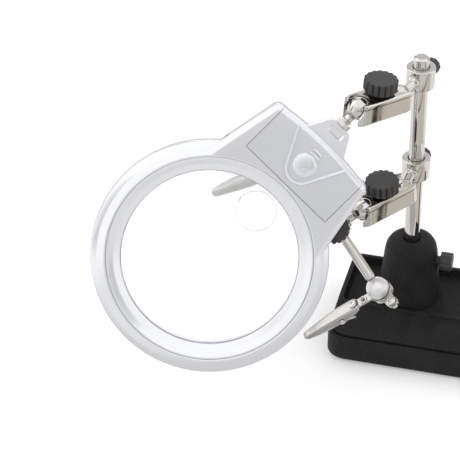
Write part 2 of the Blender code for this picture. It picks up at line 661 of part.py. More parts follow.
def lenses(frame, at):
    main = place("main_lens", lathe(lens_profile(LENS_R, 3, LENS_EDGE, LENS_CROWN), 40), "lens_clear", frame, at=at)
    cut(main, cylinder(INSERT_R + 0.15, -8, 8, 24), at=(INSERT_X, 0, 0))
    edge = LENS_EDGE + 1.4
    insert = lathe(lens_profile(INSERT_R - 0.15, 2, edge - 0.3, edge + 1.0), 24)
    place("insert_lens", insert, "lens_clear", frame, at=Vector(at) + Vector((INSERT_X, 0, 0)))


def bezel(frame, at):
    base = LENS_EDGE + 0.35
    profile = [(SEAM_R, base), (SEAM_R, SHELL_TOP - 0.35), (SEAM_R - 0.6, SHELL_TOP - 0.3), (BEZEL_R + 0.3, 3.4),
               (BEZEL_R, 3.0), (BEZEL_R, base + 0.5), (LENS_R, base)]
    place("bezel_ring", lathe(profile, RING_SEGMENTS), "silver_plastic", frame, at=at)


def battery_parts(frame, at):
    top = SHELL_TOP
    low = SHELL_TOP - COVER_THICK
    outline = housing_outline()
    blank = loft([(outline, low), (inset(outline, 0.7), SHELL_TOP - 1.0), (inset(outline, HOUSING_BEVEL), top)])
    cover = place("battery_cover", blank, "cover_plastic", frame, at=at)
    keep = box((COVER_START, -COVER_HALF, low - 1), (95, COVER_HALF, top + 1))
    cut(cover, keep, operation="INTERSECT")
    origin = Vector(at)
    for i, x in enumerate(CELL_X):
        profile = [(0, -CELL_HALF), (CELL_R - 0.5, -CELL_HALF), (CELL_R, -CELL_HALF + 0.5), (CELL_R, CELL_HALF - 1.6),
                   (CELL_R - 0.6, CELL_HALF - 1.0), (1.9, CELL_HALF - 0.9), (1.9, CELL_HALF), (0, CELL_HALF)]
        flip = TO_Y if i == 0 else TO_Y @ UPSIDE_DOWN
        place("battery_cell_%d" % (i + 1), lathe(profile, 20), "cell_wrap", frame,
              at=origin + Vector((x, 0, 0)), turn=flip)
    for name, y in (("left", CELL_HALF + 0.4), ("right", -CELL_HALF - 1.0)):
        strip = box((55.5, y, -4.2), (75.0, y + 0.6, 4.2))
        place("battery_contact_" + name, strip, "steel", frame, at=at, smooth=False)


def lamp_parts(frame, at):
    origin = Vector(at)
    for name, side in (("left", 1), ("right", -1)):
        spot = origin + Vector((LED_X, side * LED_Y, 0))
        led = [(0, -8.4), (0.9, -8.1), (1.45, -7.0), (1.45, -3.0), (1.7, -3.0), (1.7, -1.9), (0, -1.9)]
        place("led_" + name, lathe(led, 14), "led_clear", frame, at=spot)
    spot = origin + Vector((SWITCH_X - 1.5, SWITCH_Y, 0))
    slider = place("switch_slider", box((-2.6, -1.8, -5.1), (2.6, 1.8, -4.0)), "switch_black", frame, at=spot,
                   smooth=False)
    cut(slider, box((-1.6, -1.0, -SHELL_BACK - 1.4), (1.6, 1.0, -4.6)), operation="UNION")


def head():
    frame = empty("head_frame", frame_matrix(HEAD_BALL, HEAD_AXIS, HEAD_NORMAL))
    at = (-HEAD_REACH, 0, 0)
    head_front_shell(frame, at)
    head_rear_shell(frame, at)
    bezel(frame, at)
    lenses(frame, at)
    battery_parts(frame, at)
    lamp_parts(frame, at)
    place("head_ball", ball(), "chrome", frame)
    neck = HEAD_REACH - BALL_R - GAP
    root = NECK_END - 7.5
    flange = NECK_END + 3.1
    stud = [(0, root), (1.9, root), (1.9, flange), (2.9, flange + 0.2), (2.9, flange + 0.7), (NECK_R, flange + 1.1),
            (NECK_R, neck), (0, neck)]
    place("head_stud", lathe(stud, 18), "chrome", frame, at=at, turn=TO_X)
    hexagon = prism(circle(4.2, 6), NECK_END + GAP, NECK_END + 2.7)
    nut = place("head_stud_nut", hexagon, "chrome", frame, at=at, turn=TO_X, smooth=False)
    cut(nut, cylinder(2.3, NECK_END - 1, NECK_END + 5, 16))


def build():
    clear_scene()
    base_casting()
    base_pad()
    column()
    collar("upper", UPPER_COLLAR, UPPER_STUD_YAW)
    collar("lower", LOWER_COLLAR, LOWER_STUD_YAW)
    arm("upper", UPPER_FAR, heading(UPPER_ARM_YAW, UPPER_ARM_RISE), UPPER_KNOB_LOW)
    arm("lower", LOWER_FAR, heading(LOWER_ARM_YAW, LOWER_ARM_RISE), LOWER_KNOB_LOW)
    crossbar()
    clip("lower", BAR_LOW_BALL, LOWER_CLIP_AXIS, VIEW_SIDE * 0.75 + Vector((-0.64, 0.33, 0.67)) * 0.66)
    clip("upper", BAR_HIGH_BALL, UPPER_CLIP_AXIS, VIEW_SIDE * 0.75 - Vector((-0.51, 0.43, 0.75)) * 0.66)
    head()


build()
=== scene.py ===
"""Looks for the battery magnifying lamp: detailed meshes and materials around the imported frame.

Shapes are written in millimetres in the local frame of the part they belong to, and every local
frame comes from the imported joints.
"""

import json
import math

import bmesh
import bpy
from mathutils import Matrix, Vector


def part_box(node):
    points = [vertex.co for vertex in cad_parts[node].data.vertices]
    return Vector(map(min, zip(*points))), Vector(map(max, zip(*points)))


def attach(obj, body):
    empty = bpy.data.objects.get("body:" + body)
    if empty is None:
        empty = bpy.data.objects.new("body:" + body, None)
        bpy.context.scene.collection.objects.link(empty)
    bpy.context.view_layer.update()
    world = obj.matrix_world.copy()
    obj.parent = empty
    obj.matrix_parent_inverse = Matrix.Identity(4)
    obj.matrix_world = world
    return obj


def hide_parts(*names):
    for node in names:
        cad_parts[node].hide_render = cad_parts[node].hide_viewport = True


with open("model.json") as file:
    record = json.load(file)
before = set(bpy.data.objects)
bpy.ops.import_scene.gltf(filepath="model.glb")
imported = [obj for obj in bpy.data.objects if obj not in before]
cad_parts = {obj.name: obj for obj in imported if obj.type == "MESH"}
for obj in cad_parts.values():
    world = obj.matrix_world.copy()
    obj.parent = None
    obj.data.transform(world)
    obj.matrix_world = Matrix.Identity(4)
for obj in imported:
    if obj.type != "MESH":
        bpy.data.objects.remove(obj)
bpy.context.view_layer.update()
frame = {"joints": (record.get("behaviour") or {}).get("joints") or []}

MM = 0.001
JOINTS = {joint["name"]: joint for joint in frame["joints"]}
TAU = 2 * math.pi


# ---------------------------------------- local frames

def pos(joint):
    return Vector(JOINTS[joint]["pos_m"])


def axis(joint):
    return Vector(JOINTS[joint]["axis"]).normalized()


def axes_at(origin, x, y, z):
    """A matrix whose columns are the three directions, at origin (metres)."""
    matrix = Matrix((x, y, z)).transposed().to_4x4()
    matrix.translation = origin
    return matrix


def from_yz(origin, y, z):
    z = (z - y * z.dot(y)).normalized()
    return axes_at(origin, y.cross(z), y, z)


def shifted(matrix, x=0.0, y=0.0, z=0.0):
    return matrix @ Matrix.Translation(Vector((x, y, z)) * MM)


SIDES = ("upper", "lower")
UP = Vector((0, 0, 1))
COLUMN = Matrix.Translation(Vector((pos("upper_collar_turn").x, pos("upper_collar_turn").y, 0)))
WORLD = Matrix()
COLLAR = {side: from_yz(pos(side + "_collar_screw_turn"), UP.cross(-axis(side + "_collar_screw_turn")), UP)
          for side in SIDES}
ARM = {side: from_yz(pos(side + "_arm_swing"), axis(side + "_arm_tilt"), axis(side + "_arm_swing"))
       for side in SIDES}
BLOCK_X = (pos("crossbar_knob_turn") - pos("block_swing")).normalized()
BLOCK = axes_at(pos("block_swing"), BLOCK_X, axis("block_tilt").cross(BLOCK_X), axis("block_tilt"))
BAR = axis("crossbar_slide")
BAR_FRAME = from_yz(pos("crossbar_knob_turn"), BLOCK_X.cross(BAR).normalized(), BAR)
CLIP = {side: from_yz(pos(side + "_bracket_swing"), axis(side + "_jaw_open"), axis(side + "_bracket_swing"))
        for side in SIDES}
HEAD_Z = axis("head_turn").cross(axis("head_tilt"))
HEAD_REACH = 101.6
HEAD_AT_BALL = axes_at(pos("head_turn"), axis("head_turn"), axis("head_tilt"), HEAD_Z)
HEAD = shifted(HEAD_AT_BALL, -HEAD_REACH)

TO_X = Matrix.Rotation(math.radians(90), 4, "Y")
TO_MINUS_X = Matrix.Rotation(math.radians(-90), 4, "Y")
TO_Y = Matrix.Rotation(math.radians(-90), 4, "X")
FLIP = Matrix.Rotation(math.radians(180), 4, "X")


# ---------------------------------------- mesh helpers

def fillet(points, closed=True, steps=4):
    """Points are (x, y) or (x, y, radius). A radius rounds that corner."""
    result = []
    count = len(points)
    for i, point in enumerate(points):
        here = Vector(point[:2])
        radius = point[2] if len(point) > 2 else 0.0
        inside = closed or 0 < i < count - 1
        if radius <= 0 or not inside:
            result.append((here.x, here.y))
            continue
        before = Vector(points[i - 1][:2]) - here
        after = Vector(points[(i + 1) % count][:2]) - here
        half = before.angle(after) / 2
        reach = min(radius / math.tan(half), before.length * 0.49, after.length * 0.49)
        start = here + before.normalized() * reach
        end = here + after.normalized() * reach
        for k in range(steps + 1):
            t = k / steps
            spot = start * (1 - t) ** 2 + here * 2 * t * (1 - t) + end * t ** 2
            result.append((spot.x, spot.y))
    return result


def lathe(profile, segments=64, steps=4):
    """Revolve (radius, height[, rounding]) points about Z. A profile off the axis closes on itself."""
    closed = profile[0][0] != 0
    bm = bmesh.new()
    turns = [TAU * i / segments for i in range(segments)]
    rings = []
    for radius, height in fillet(profile, closed, steps):
        if radius < 1e-6:
            rings.append([bm.verts.new((0, 0, height))])
        else:
            rings.append([bm.verts.new((radius * math.cos(t), radius * math.sin(t), height)) for t in turns])
    pairs = list(zip(rings, rings[1:]))
    if closed:
        pairs.append((rings[-1], rings[0]))
    for low, high in pairs:
        for i in range(segments):
            j = (i + 1) % segments
            if len(low) == 1:
                bm.faces.new((low[0], high[i], high[j]))
            elif len(high) == 1:
                bm.faces.new((low[i], low[j], high[0]))
            else:
                bm.faces.new((low[i], low[j], high[j], high[i]))
    return bm


def loft(sections, cap=True, closed=False):
    """Join outlines of equal point count, each a list of 3-D points. A closed loft meets its own start."""
    bm = bmesh.new()
    rings = [[bm.verts.new(p) for p in points] for points in sections]
    count = len(rings[0])
    for low, high in zip(rings, rings[1:] + rings[:1] if closed else rings[1:]):
        for i in range(count):
            j = (i + 1) % count
            bm.faces.new((low[i], low[j], high[j], high[i]))
    if cap and not closed:
        bm.faces.new(list(reversed(rings[0])))
        bm.faces.new(rings[-1])
    return bm


def layers(*sections):
    """Sections given as (outline, height)."""
    return loft([[(x, y, height) for x, y in points] for points, height in sections])


def prism(points, low, high):
    return layers((points, low), (points, high))


def box(low, high, rounding=0.0):
    points = [(low[0], low[1], rounding), (high[0], low[1], rounding),
              (high[0], high[1], rounding), (low[0], high[1], rounding)]
    return prism(fillet(points), low[2], high[2])


def circle(radius, segments, x=0.0, y=0.0):
    turns = [TAU * i / segments for i in range(segments)]
    return [(x + radius * math.cos(t), y + radius * math.sin(t)) for t in turns]


def cylinder(radius, low, high, segments=48, x=0.0, y=0.0):
    return prism(circle(radius, segments, x, y), low, high)


def quarter(steps, first=1):
    """The rise (sine) and the fall (1 - cosine) at even steps of a quarter turn."""
    turns = [math.pi / 2 * k / steps for k in range(first, steps + 1)]
    return [(math.sin(t), 1 - math.cos(t)) for t in turns]


def inset(points, distance):
    """Move each edge of a convex anticlockwise outline inwards."""
    result = []
    for i, point in enumerate(points):
        here = Vector(point)
        first = (here - Vector(points[i - 1])).normalized()
        second = (Vector(points[(i + 1) % len(points)]) - here).normalized()
        normal = Vector((-first.y - second.y, first.x + second.x)).normalized()
        stretch = 1.0 / max(0.5, normal.dot(Vector((-first.y, first.x))))
        spot = here + normal * distance * stretch
        result.append((spot.x, spot.y))
    return result


def rounded_top(points, low, high, radius, steps=5, bottom=0.0):
    """A prism whose top edge, and bottom edge if asked, is rounded."""
    turn = quarter(steps, 0)
    sections = [(points, low)]
    if bottom:
        sections = [(inset(points, bottom * (1 - rise)), low + bottom * fall) for rise, fall in turn]
    for rise, fall in turn:
        sections.append((inset(points, radius * fall), high - radius * (1 - rise)))
    return layers(*sections)


def moved(bm, matrix):
    """Apply a matrix whose translation is in millimetres."""
    bmesh.ops.transform(bm, matrix=matrix, verts=bm.verts)
    return bm


def at(x=0.0, y=0.0, z=0.0):
    return Matrix.Translation(Vector((x, y, z)))


def to_mesh(name, bm):
    mesh = bpy.data.meshes.new(name)
    bm.to_mesh(mesh)
    bm.free()
    return mesh


def add_object(name, data):
    obj = bpy.data.objects.new(name, data)
    bpy.context.scene.collection.objects.link(obj)
    return obj


def merged(*meshes):
    """Several bmeshes in one, without joining their surfaces."""
    total = bmesh.new()
    for bm in meshes:
        part = to_mesh("part", bm)
        total.from_mesh(part)
        bpy.data.meshes.remove(part)
    return total


def temporary(bm):
    bmesh.ops.recalc_face_normals(bm, faces=bm.faces)
    return add_object("temporary", to_mesh("temporary", bm))


def combine(bm, tool, operation="DIFFERENCE"):
    """The exact Boolean of two bmeshes, as a new bmesh."""
    first = temporary(bm)
    second = temporary(tool)
    mod = first.modifiers.new("combine", "BOOLEAN")
    mod.operation = operation
    mod.solver = "EXACT"
    mod.object = second
    depsgraph = bpy.context.evaluated_depsgraph_get()
    result = bpy.data.meshes.new_from_object(first.evaluated_get(depsgraph))
    out = bmesh.new()
    out.from_mesh(result)
    for mesh in (first.data, second.data, result):
        bpy.data.meshes.remove(mesh)
    return out


def cut(bm, *tools):
    for tool in tools:
        bm = combine(bm, tool)
    return bm


def join(bm, *tools):
    for tool in tools:
        bm = combine(bm, tool, "UNION")
    return bm


def piece(name, bm, place, material, body, nodes=(), bevel=0.0, sharp=32, flat=False):
    """A finished piece: metres, the row frame, rounded edges, and its body and nodes.

    With flat, large faces keep their own normals, so that flat sheet metal mirrors like a flat sheet.
    """
    bmesh.ops.recalc_face_normals(bm, faces=bm.faces)
    bmesh.ops.scale(bm, vec=(MM, MM, MM), verts=bm.verts)
    bmesh.ops.transform(bm, matrix=place, verts=bm.verts)
    mesh = to_mesh(name, bm)
    mesh.shade_smooth()
    mesh.set_sharp_from_angle(angle=math.radians(sharp))
    mesh.materials.append(material)
    obj = add_object(name, mesh)
    if bevel:
        mod = obj.modifiers.new("edges", "BEVEL")
        mod.width = bevel * MM
        mod.segments = 2
        mod.limit_method = "ANGLE"
        mod.angle_limit = math.radians(sharp)
        mod.use_clamp_overlap = True
        mod.harden_normals = True
    if flat:
        mod = obj.modifiers.new("flat_faces", "WEIGHTED_NORMAL")
        mod.keep_sharp = True
    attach(obj, body)
    if nodes:
        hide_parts(*nodes)


# ---------------------------------------- materials

# The stretch of the noise that colour and roughness follow.
PATCH_LOW, PATCH_HIGH = 0.3, 0.7


def fill(node, settings):
    for socket, value in settings.items():
        node.inputs[socket].default_value = value


def new_material(name, settings):
    """A material whose shader has these settings, its node tree and its shader's inputs."""
    mat = bpy.data.materials.new(name)
    mat.use_nodes = True
    shader = mat.node_tree.nodes["Principled BSDF"]
    fill(shader, settings)
    return mat, mat.node_tree, shader.inputs


def shade(colour, factor):
    return tuple(min(1.0, channel * factor) for channel in colour) + (1.0,)


def noise(tree, scale, kind="ShaderNodeTexNoise"):
    """A pattern fixed to the piece."""
    place = tree.nodes.new("ShaderNodeTexCoord")
    pattern = tree.nodes.new(kind)
    fill(pattern, {"Scale": scale})
    tree.links.new(place.outputs["Object"], pattern.inputs["Vector"])
    return pattern


def spread(tree, source, target, low, high, start=0.0, stop=1.0):
    """Drive the target socket from low to high while the source goes from start to stop."""
    node = tree.nodes.new("ShaderNodeMapRange")
    fill(node, {"From Min": start, "From Max": stop, "To Min": low, "To Max": high})
    tree.links.new(source.outputs["Fac"], node.inputs["Value"])
    tree.links.new(node.outputs["Result"], target)


def material(name, colour, metallic=0.0, roughness=0.5, vary=0.0, patch=60.0, uneven=0.0,
             bump=0.0, grain=900.0, depth=0.0002, coat=0.0, specular=0.5, cells=False):
    """Colour and roughness drift over patches, and a fine grain or fine cells lift the surface."""
    mat, tree, inputs = new_material(name, {
        "Base Color": (*colour, 1.0), "Metallic": metallic, "Roughness": roughness,
        "Specular IOR Level": specular, "Coat Weight": coat, "Coat Roughness": 0.12})
    cloud = noise(tree, patch)
    fill(cloud, {"Detail": 5.0})
    ramp = tree.nodes.new("ShaderNodeValToRGB")
    for end, position, factor in zip(ramp.color_ramp.elements, (PATCH_LOW, PATCH_HIGH), (1 - vary, 1 + vary)):
        end.position = position
        end.color = shade(colour, factor)
    tree.links.new(cloud.outputs["Fac"], ramp.inputs["Fac"])
    tree.links.new(ramp.outputs["Color"], inputs["Base Color"])
    spread(tree, cloud, inputs["Roughness"], max(0.0, roughness - uneven), roughness + uneven,
           PATCH_LOW, PATCH_HIGH)
    if bump:
        fine = noise(tree, grain, "ShaderNodeTexVoronoi" if cells else "ShaderNodeTexNoise")
        lift = tree.nodes.new("ShaderNodeBump")
        fill(lift, {"Strength": bump, "Distance": depth})
        tree.links.new(fine.outputs["Distance" if cells else "Fac"], lift.inputs["Height"])
        tree.links.new(lift.outputs["Normal"], inputs["Normal"])
    return mat


def clear(name, colour, alpha, ior=1.49, roughness=0.0):
    mat, tree, inputs = new_material(name, {
        "Base Color": (*colour, 1.0), "Transmission Weight": 1.0, "IOR": ior, "Alpha": alpha})
    spread(tree, noise(tree, 40.0), inputs["Roughness"], roughness, roughness + 0.03)
    return mat


CAST = material("cast_iron_paint", (0.0125, 0.0125, 0.0122), 0.0, 0.55, 0.3, 90, 0.08,
                bump=0.75, grain=850, depth=0.0005, specular=0.14, cells=True)
PAD = material("foam_rubber", (0.018, 0.018, 0.018), 0.0, 0.92, 0.2, 300, 0.04, bump=0.4, grain=2500)
KNOB = material("knob_plastic", (0.0275, 0.0265, 0.0255), 0.0, 0.50, 0.10, 150, 0.06,
                bump=0.18, grain=2600, depth=0.0001)
CHROME = material("chrome_plate", (0.60, 0.585, 0.56), 1.0, 0.07, 0.03, 90, 0.035,
                  bump=0.03, grain=160, depth=0.0001)
NICKEL = material("nickel_plate", (0.47, 0.46, 0.44), 1.0, 0.17, 0.05, 120, 0.05, bump=0.02, grain=600)
SATIN = material("satin_zinc", (0.74, 0.735, 0.745), 0.8, 0.40, 0.04, 150, 0.05, bump=0.03, grain=900)
STEEL = material("plated_steel", (0.68, 0.66, 0.63), 1.0, 0.24, 0.06, 200, 0.06,
                 bump=0.08, grain=1500, depth=0.00005)
SILVER = material("silver_plastic", (0.755, 0.760, 0.790), 0.62, 0.25, 0.012, 35, 0.02,
                  bump=0.02, grain=1800, depth=0.00006, coat=0.2)
COVER = material("cover_plastic", (0.715, 0.721, 0.755), 0.62, 0.25, 0.015, 40, 0.02,
                 bump=0.02, grain=1800, depth=0.00006, coat=0.2)
WRAP = material("cell_wrap", (0.05, 0.08, 0.24), 0.1, 0.30, 0.05, 120, 0.04, coat=0.5)
CONTACT = material("contact_spring_steel", (0.62, 0.60, 0.55), 1.0, 0.30, 0.05, 300, 0.06)
SWITCH = material("switch_plastic", (0.020, 0.020, 0.021), 0.0, 0.5, 0.1, 200, 0.05, bump=0.2, grain=2500)
LENS = clear("lens_acrylic", (0.975, 0.985, 0.995), 0.22)
INSERT = clear("insert_acrylic", (0.985, 0.99, 1.0), 0.45)
# Painted shade: a mid grey band on the bezel's inner wall, where the lens's edge looks dark.
EDGE_SHADE = material("lens_edge_shade", (0.30, 0.30, 0.31), 0.2, 0.45, 0.05, 200, 0.05)
RIM = material("insert_rim", (0.50, 0.52, 0.55), 0.0, 0.35, 0.03, 200, 0.03)
LED = clear("led_epoxy", (0.96, 0.97, 1.0), 0.75, 1.5, 0.04)


# ---------------------------------------- base and column

BASE_LENGTH = 160.0
BASE_DEPTH = 69.0
BASE_CORNER = 10.0
BAND_LOW = 2.3
BAND_TOP = 15.0
CREASE = BAND_TOP + 0.4
RIM_TOP = 21.2
TRAY_FLOOR = 15.7
FRONT_SLOPE = 22.0
SIDE_SLOPE = 1.5
BACK_SLOPE = 2.8
RIM_WIDTH = 2.6
TOWER_TOP = 54.2
SET_SCREW_Z = 42.0
POST_FOOT = 22.0
POST_TOP = 163.0
COLUMN_R = 4.0


def rounded_rectangle(x0, x1, y0, y1, radius, steps=10):
    points = []
    for x, y, start in ((x1, y1, 0), (x0, y1, 90), (x0, y0, 180), (x1, y0, 270)):
        cx = x - math.copysign(radius, x - (x0 + x1) / 2)
        cy = y - math.copysign(radius, y - (y0 + y1) / 2)
        for i in range(steps + 1):
            t = math.radians(start + 90 * i / steps)
            points.append((cx + radius * math.cos(t), cy + radius * math.sin(t)))
    return points


def base_ring(margin, slope, corner):
    """An outline part-way from the foot (slope 0) to the rim (slope 1)."""
    return rounded_rectangle(-BASE_LENGTH / 2 + SIDE_SLOPE * slope + margin,
                             BASE_LENGTH / 2 - SIDE_SLOPE * slope - margin,
                             -BASE_DEPTH / 2 + FRONT_SLOPE * slope + margin,
                             BASE_DEPTH / 2 - BACK_SLOPE * slope - margin, corner)


def base_body():
    """The casting without its tower: a band, a crease, a sloping apron, a rim and a tray."""
    band_edge, rim_edge = BAND_TOP - 1.0, RIM_WIDTH + 0.7
    rows = [(0.9, 0, 9.1, 1.3), (0.3, 0, 9.7, 1.6)]
    rows += [(0, 0, BASE_CORNER, BAND_LOW + (band_edge - BAND_LOW) * k / 3) for k in range(4)]
    rows += [(1.2 * fall, 0, 9.6, band_edge + 0.9 * rise) for rise, fall in quarter(4)]
    rows += [(1.55, 0, 9.4, BAND_TOP - 1.05), (1.9, 0.03, 9.2, BAND_TOP - 1.05), (1.12, 0.07, 9.3, CREASE)]
    for s in (k / 6 for k in range(1, 6)):
        rows.append((1.2 * (1 - s), s, 9.6 - 4.6 * s, BAND_TOP + (RIM_TOP - CREASE) * s))
    rows += [(0.9 * fall, 1, 5 - 0.9 * fall, RIM_TOP - 0.8 + 0.8 * rise) for rise, fall in quarter(4, 0)]
    rows += [(RIM_WIDTH - 0.7 + 0.7 * rise, 1, 3.6, RIM_TOP - 0.7 * fall) for rise, fall in quarter(4, 0)]
    rows += [(rim_edge, 1, 3.2, TRAY_FLOOR + 1.4)]
    rows += [(rim_edge + 1.3 * fall, 1, 3.0, TRAY_FLOOR + 1.4 - 1.4 * rise) for rise, fall in quarter(4)]
    return layers(*[(base_ring(margin, slope, corner), height) for margin, slope, corner, height in rows])


def build_base():
    tower = [(0, TRAY_FLOOR - 2), (19.0, TRAY_FLOOR - 2), (18.2, TRAY_FLOOR + 0.2), (16.9, TRAY_FLOOR + 1.2),
             (16.1, TRAY_FLOOR + 3.6), (13.6, TOWER_TOP - 8, 6), (12.9, TOWER_TOP - 4.4, 3),
             (11.3, TOWER_TOP - 1.6, 2.4), (8.6, TOWER_TOP - 0.2, 1.6), (5.2, TOWER_TOP, 0.4),
             (COLUMN_R + 0.35, TOWER_TOP - 0.6), (0, TOWER_TOP - 0.6)]
    column = COLUMN.translation / MM
    body = join(base_body(), moved(lathe(tower, 96), at(column.x, column.y)))
    body = cut(body, moved(cylinder(COLUMN_R + 0.3, POST_FOOT, TOWER_TOP + 1), at(column.x, column.y)),
               moved(cylinder(3.0, 5, 30, 32), at(column.x, column.y, SET_SCREW_Z) @ TO_X))
    piece("casting", body, WORLD, CAST, "base", ["base_casting"], sharp=40)
    pad = rounded_top(base_ring(2.0, 0, 8), 0, 1.0, 0.3, 3)
    piece("foot_pad", pad, WORLD, PAD, "base", ["base_pad"])
    foot, shoulder = POST_FOOT - 0.1, POST_TOP - 0.8
    rod = [(0, foot), (COLUMN_R - 0.4, foot, 0.2), (COLUMN_R, foot + 0.5, 0.2), (COLUMN_R, shoulder, 0.6),
           (COLUMN_R - 1.2, POST_TOP, 0.5), (0, POST_TOP)]
    piece("post", lathe(rod, 64), COLUMN, CHROME, "base", ["column_rod"])
    thread = lathe([(0, 0), (2.4, 0, 0.3), (2.4, 11.6), (0, 11.6)], 32)
    screw = merged(thread, lobed(5.0, 10, 0.5, 11.3, 17.4, 0.7))
    piece("post_screw", screw, shifted(COLUMN, COLUMN_R + 0.3, 0, SET_SCREW_Z) @ TO_X, KNOB, "column_screw",
          ["column_set_screw"], sharp=40)


# ---------------------------------------- knobs, collars and arms

BALL_R = 5.7
RING_BORE = 4.3
RING_OUT = 7.2
RING_HALF = 5.5
RING_REACH = 21.35
REACH = 24.6
HALF_WIDTH = 7.3
SHEET = 1.1
MOUTH = 5.8
PRONG = 5.6


def lobed(radius, lobes, depth, low, high, rounding):
    """A hand knob: convex lobes with sharp grooves between them, rounded over at the top."""
    count = lobes * 10
    side = low + 0.8

    def outline(scale, fade):
        points = []
        for i in range(count):
            t = TAU * i / count
            wave = abs(math.sin(t * lobes / 2)) ** 0.75
            r = radius * scale - depth * fade * (1 - wave)
            points.append((r * math.cos(t), r * math.sin(t)))
        return points

    sections = [(outline(0.93, 0.4), low), (outline(0.985, 0.9), low + 0.35)]
    sections += [(outline(1.0, 1.0), side + (high - rounding - side) * k / 3) for k in range(4)]
    for rise, fall in quarter(6):
        crown = outline(1.0 - rounding * fall / radius, 1 - 0.30 * rise ** 2)
        sections.append((crown, high - rounding * (1 - rise)))
    for scale, fade, lift in ((0.82, 0.15, 0.02), (0.55, 0.0, 0.04), (0.2, 0.0, 0.05)):
        sections.append((outline(scale, fade), high + lift))
    return layers(*sections)


def knob(name, place, low, body, node, radius=8.4):
    crown = lobed(radius, 16, 1.15, low, low + 6.15, 0.75)
    hub = lathe([(0, low - 0.6), (5.6, low - 0.6, 0.3), (5.9, low + 0.3), (0, low + 0.3)], 48)
    piece(name, merged(crown, hub), place, KNOB, body, [node], sharp=38)


def build_collar(side):
    body = side + "_collar"
    place = COLLAR[side]
    ring = lathe([(RING_BORE, -RING_HALF, 0.3), (RING_OUT, -RING_HALF, 0.7),
                  (RING_OUT, RING_HALF, 0.7), (RING_BORE, RING_HALF, 0.3)], 72)
    ring = cut(ring, moved(cylinder(1.75, 0, 6, 40), at(-3) @ TO_MINUS_X))
    piece(side + "_ring", ring, place, CHROME, body, [side + "_collar"])
    tip = RING_REACH - BALL_R + 0.35
    stud = [(0, 5.4), (1.6, 5.4), (1.6, 7.0), (3.5, 7.0, 0.3), (3.5, 8.6, 0.4), (2.3, 9.5, 0.5),
            (2.2, tip), (0, tip)]
    piece(side + "_ring_stud", lathe(stud, 48), place @ TO_X, CHROME, body, [side + "_collar_stud"])
    thread = lathe([(0, 0), (1.6, 0, 0.2), (1.6, 3.8), (0, 3.8)], 32)
    screw = merged(thread, lobed(4.2, 10, 0.4, 3.5, 8.2, 0.6))
    piece(side + "_ring_screw", screw, shifted(place, -RING_BORE) @ TO_MINUS_X, KNOB, side + "_collar_screw",
          [side + "_collar_screw"], sharp=40)


def stadium(x0, x1, radius, steps=24):
    turns = [math.radians(180 * i / steps - 90) for i in range(steps + 1)]
    right = [(x1 + radius * math.cos(t), radius * math.sin(t)) for t in turns]
    return right + [(x0 - radius * math.cos(t), -radius * math.sin(t)) for t in turns]


def channel(top, depth, near, far_prong):
    """A pressed channel with a round seat and an open mouth at each end.

    At the far end the prong on the near side (+1 or -1) is cut back in a curve that leaves a lip at the
    foot of the wall, and the other prong starts at far_prong from the middle.
    """
    shell = rounded_top(stadium(0, REACH, HALF_WIDTH), top - depth, top, 1.1)
    hollow = rounded_top(stadium(0, REACH, HALF_WIDTH - SHEET), top - depth - 4, top - SHEET, 0.5, 3)
    tools = [hollow, cylinder(2.3, 0, top + 2, 32, REACH / 2)]
    for x, sign, near_half, far_half in ((0, -1, MOUTH, MOUTH), (REACH, 1, PRONG, far_prong)):
        tools.append(cylinder(5.2, -20, 20, 64, x))
        low, high = sorted((x - sign * 0.7, x + sign * 20))
        edges = sorted((near * near_half, -near * far_half))
        tools.append(box((low, edges[0], -20), (high, edges[1], 20)))
    low, high = sorted((near * 2.0, near * 20))
    tools.append(moved(cylinder(9.0, low, high, 96), at(REACH + 10.6, 0, 4.2 * near) @ TO_Y))
    return cut(shell, *tools)


def seated_ball():
    """A turned ball with a small centre mark on the side that faces out."""
    turns = [math.pi * i / 30 for i in range(1, 30)]
    side = [(BALL_R * math.sin(t), -BALL_R * math.cos(t)) for t in turns]
    mark = [(0.42, BALL_R - 0.03), (0.30, BALL_R - 0.35), (0, BALL_R - 0.5)]
    return lathe([(0, -BALL_R)] + [(r, z) for r, z in side if r > 0.62 or z < 0] + mark)


def spring(radius, wire, low, high, turns, steps=22, sides=10):
    sections = []
    count = int(turns * steps)
    for i in range(count + 1):
        angle = TAU * i / steps
        height = low + wire + (high - low - 2 * wire) * i / count
        out = Vector((math.cos(angle), math.sin(angle), 0))
        sections.append([out * (radius + x) + Vector((0, 0, height + y)) for x, y in circle(wire, sides)])
    return loft(sections)


def build_arm(side, knob_low):
    place = ARM[side]
    body = side + "_arm"
    piece(side + "_top_channel", channel(5.0, 2.1, 1, 3.2), place, CHROME, body,
          [side + "_arm_top_plate"], bevel=0.22, flat=True)
    piece(side + "_bottom_channel", channel(6.2, 8.7, -1, PRONG), place @ FLIP, CHROME, body,
          [side + "_arm_bottom_plate"], bevel=0.22, flat=True)
    middle = shifted(place, REACH / 2)
    bolt = [(0, -8.1), (1.6, -8.05, 0.3), (3.0, -7.5, 0.8), (3.6, -6.6, 0.3), (3.6, -6.3), (2.0, -6.3),
            (2.0, knob_low + 4), (0, knob_low + 4)]
    piece(side + "_bolt", lathe(bolt, 48), middle, STEEL, body, [side + "_arm_bolt"])
    piece(side + "_spring", spring(3.2, 0.45, -4.8, 3.6, 3.5), middle, STEEL, body,
          [side + "_arm_spring"])
    knob(side + "_knob", middle, knob_low, side + "_arm_knob", side + "_arm_knob")
    piece(side + "_ball", seated_ball(), place, CHROME, side + "_far_ball",
          [side + "_arm_far_ball"])


# ---------------------------------------- crossbar and clips

BLOCK_REACH = 15.8
BAR_HALF = 30.8
TAB_LOW = -3.4
TAB_HIGH = -2.2
CUP_WALL = 5.6
EYE_X = 9.8
RIVET_X = 15.5
PIVOT_X = 24.5
PIVOT_Z = -4.2
CLIP_REAR = 13.0
CLIP_TIP = 46.0
TEETH_FROM = CLIP_TIP - 11
TOOTH_PITCH = 1.4
WEB = TAB_HIGH + 1.0


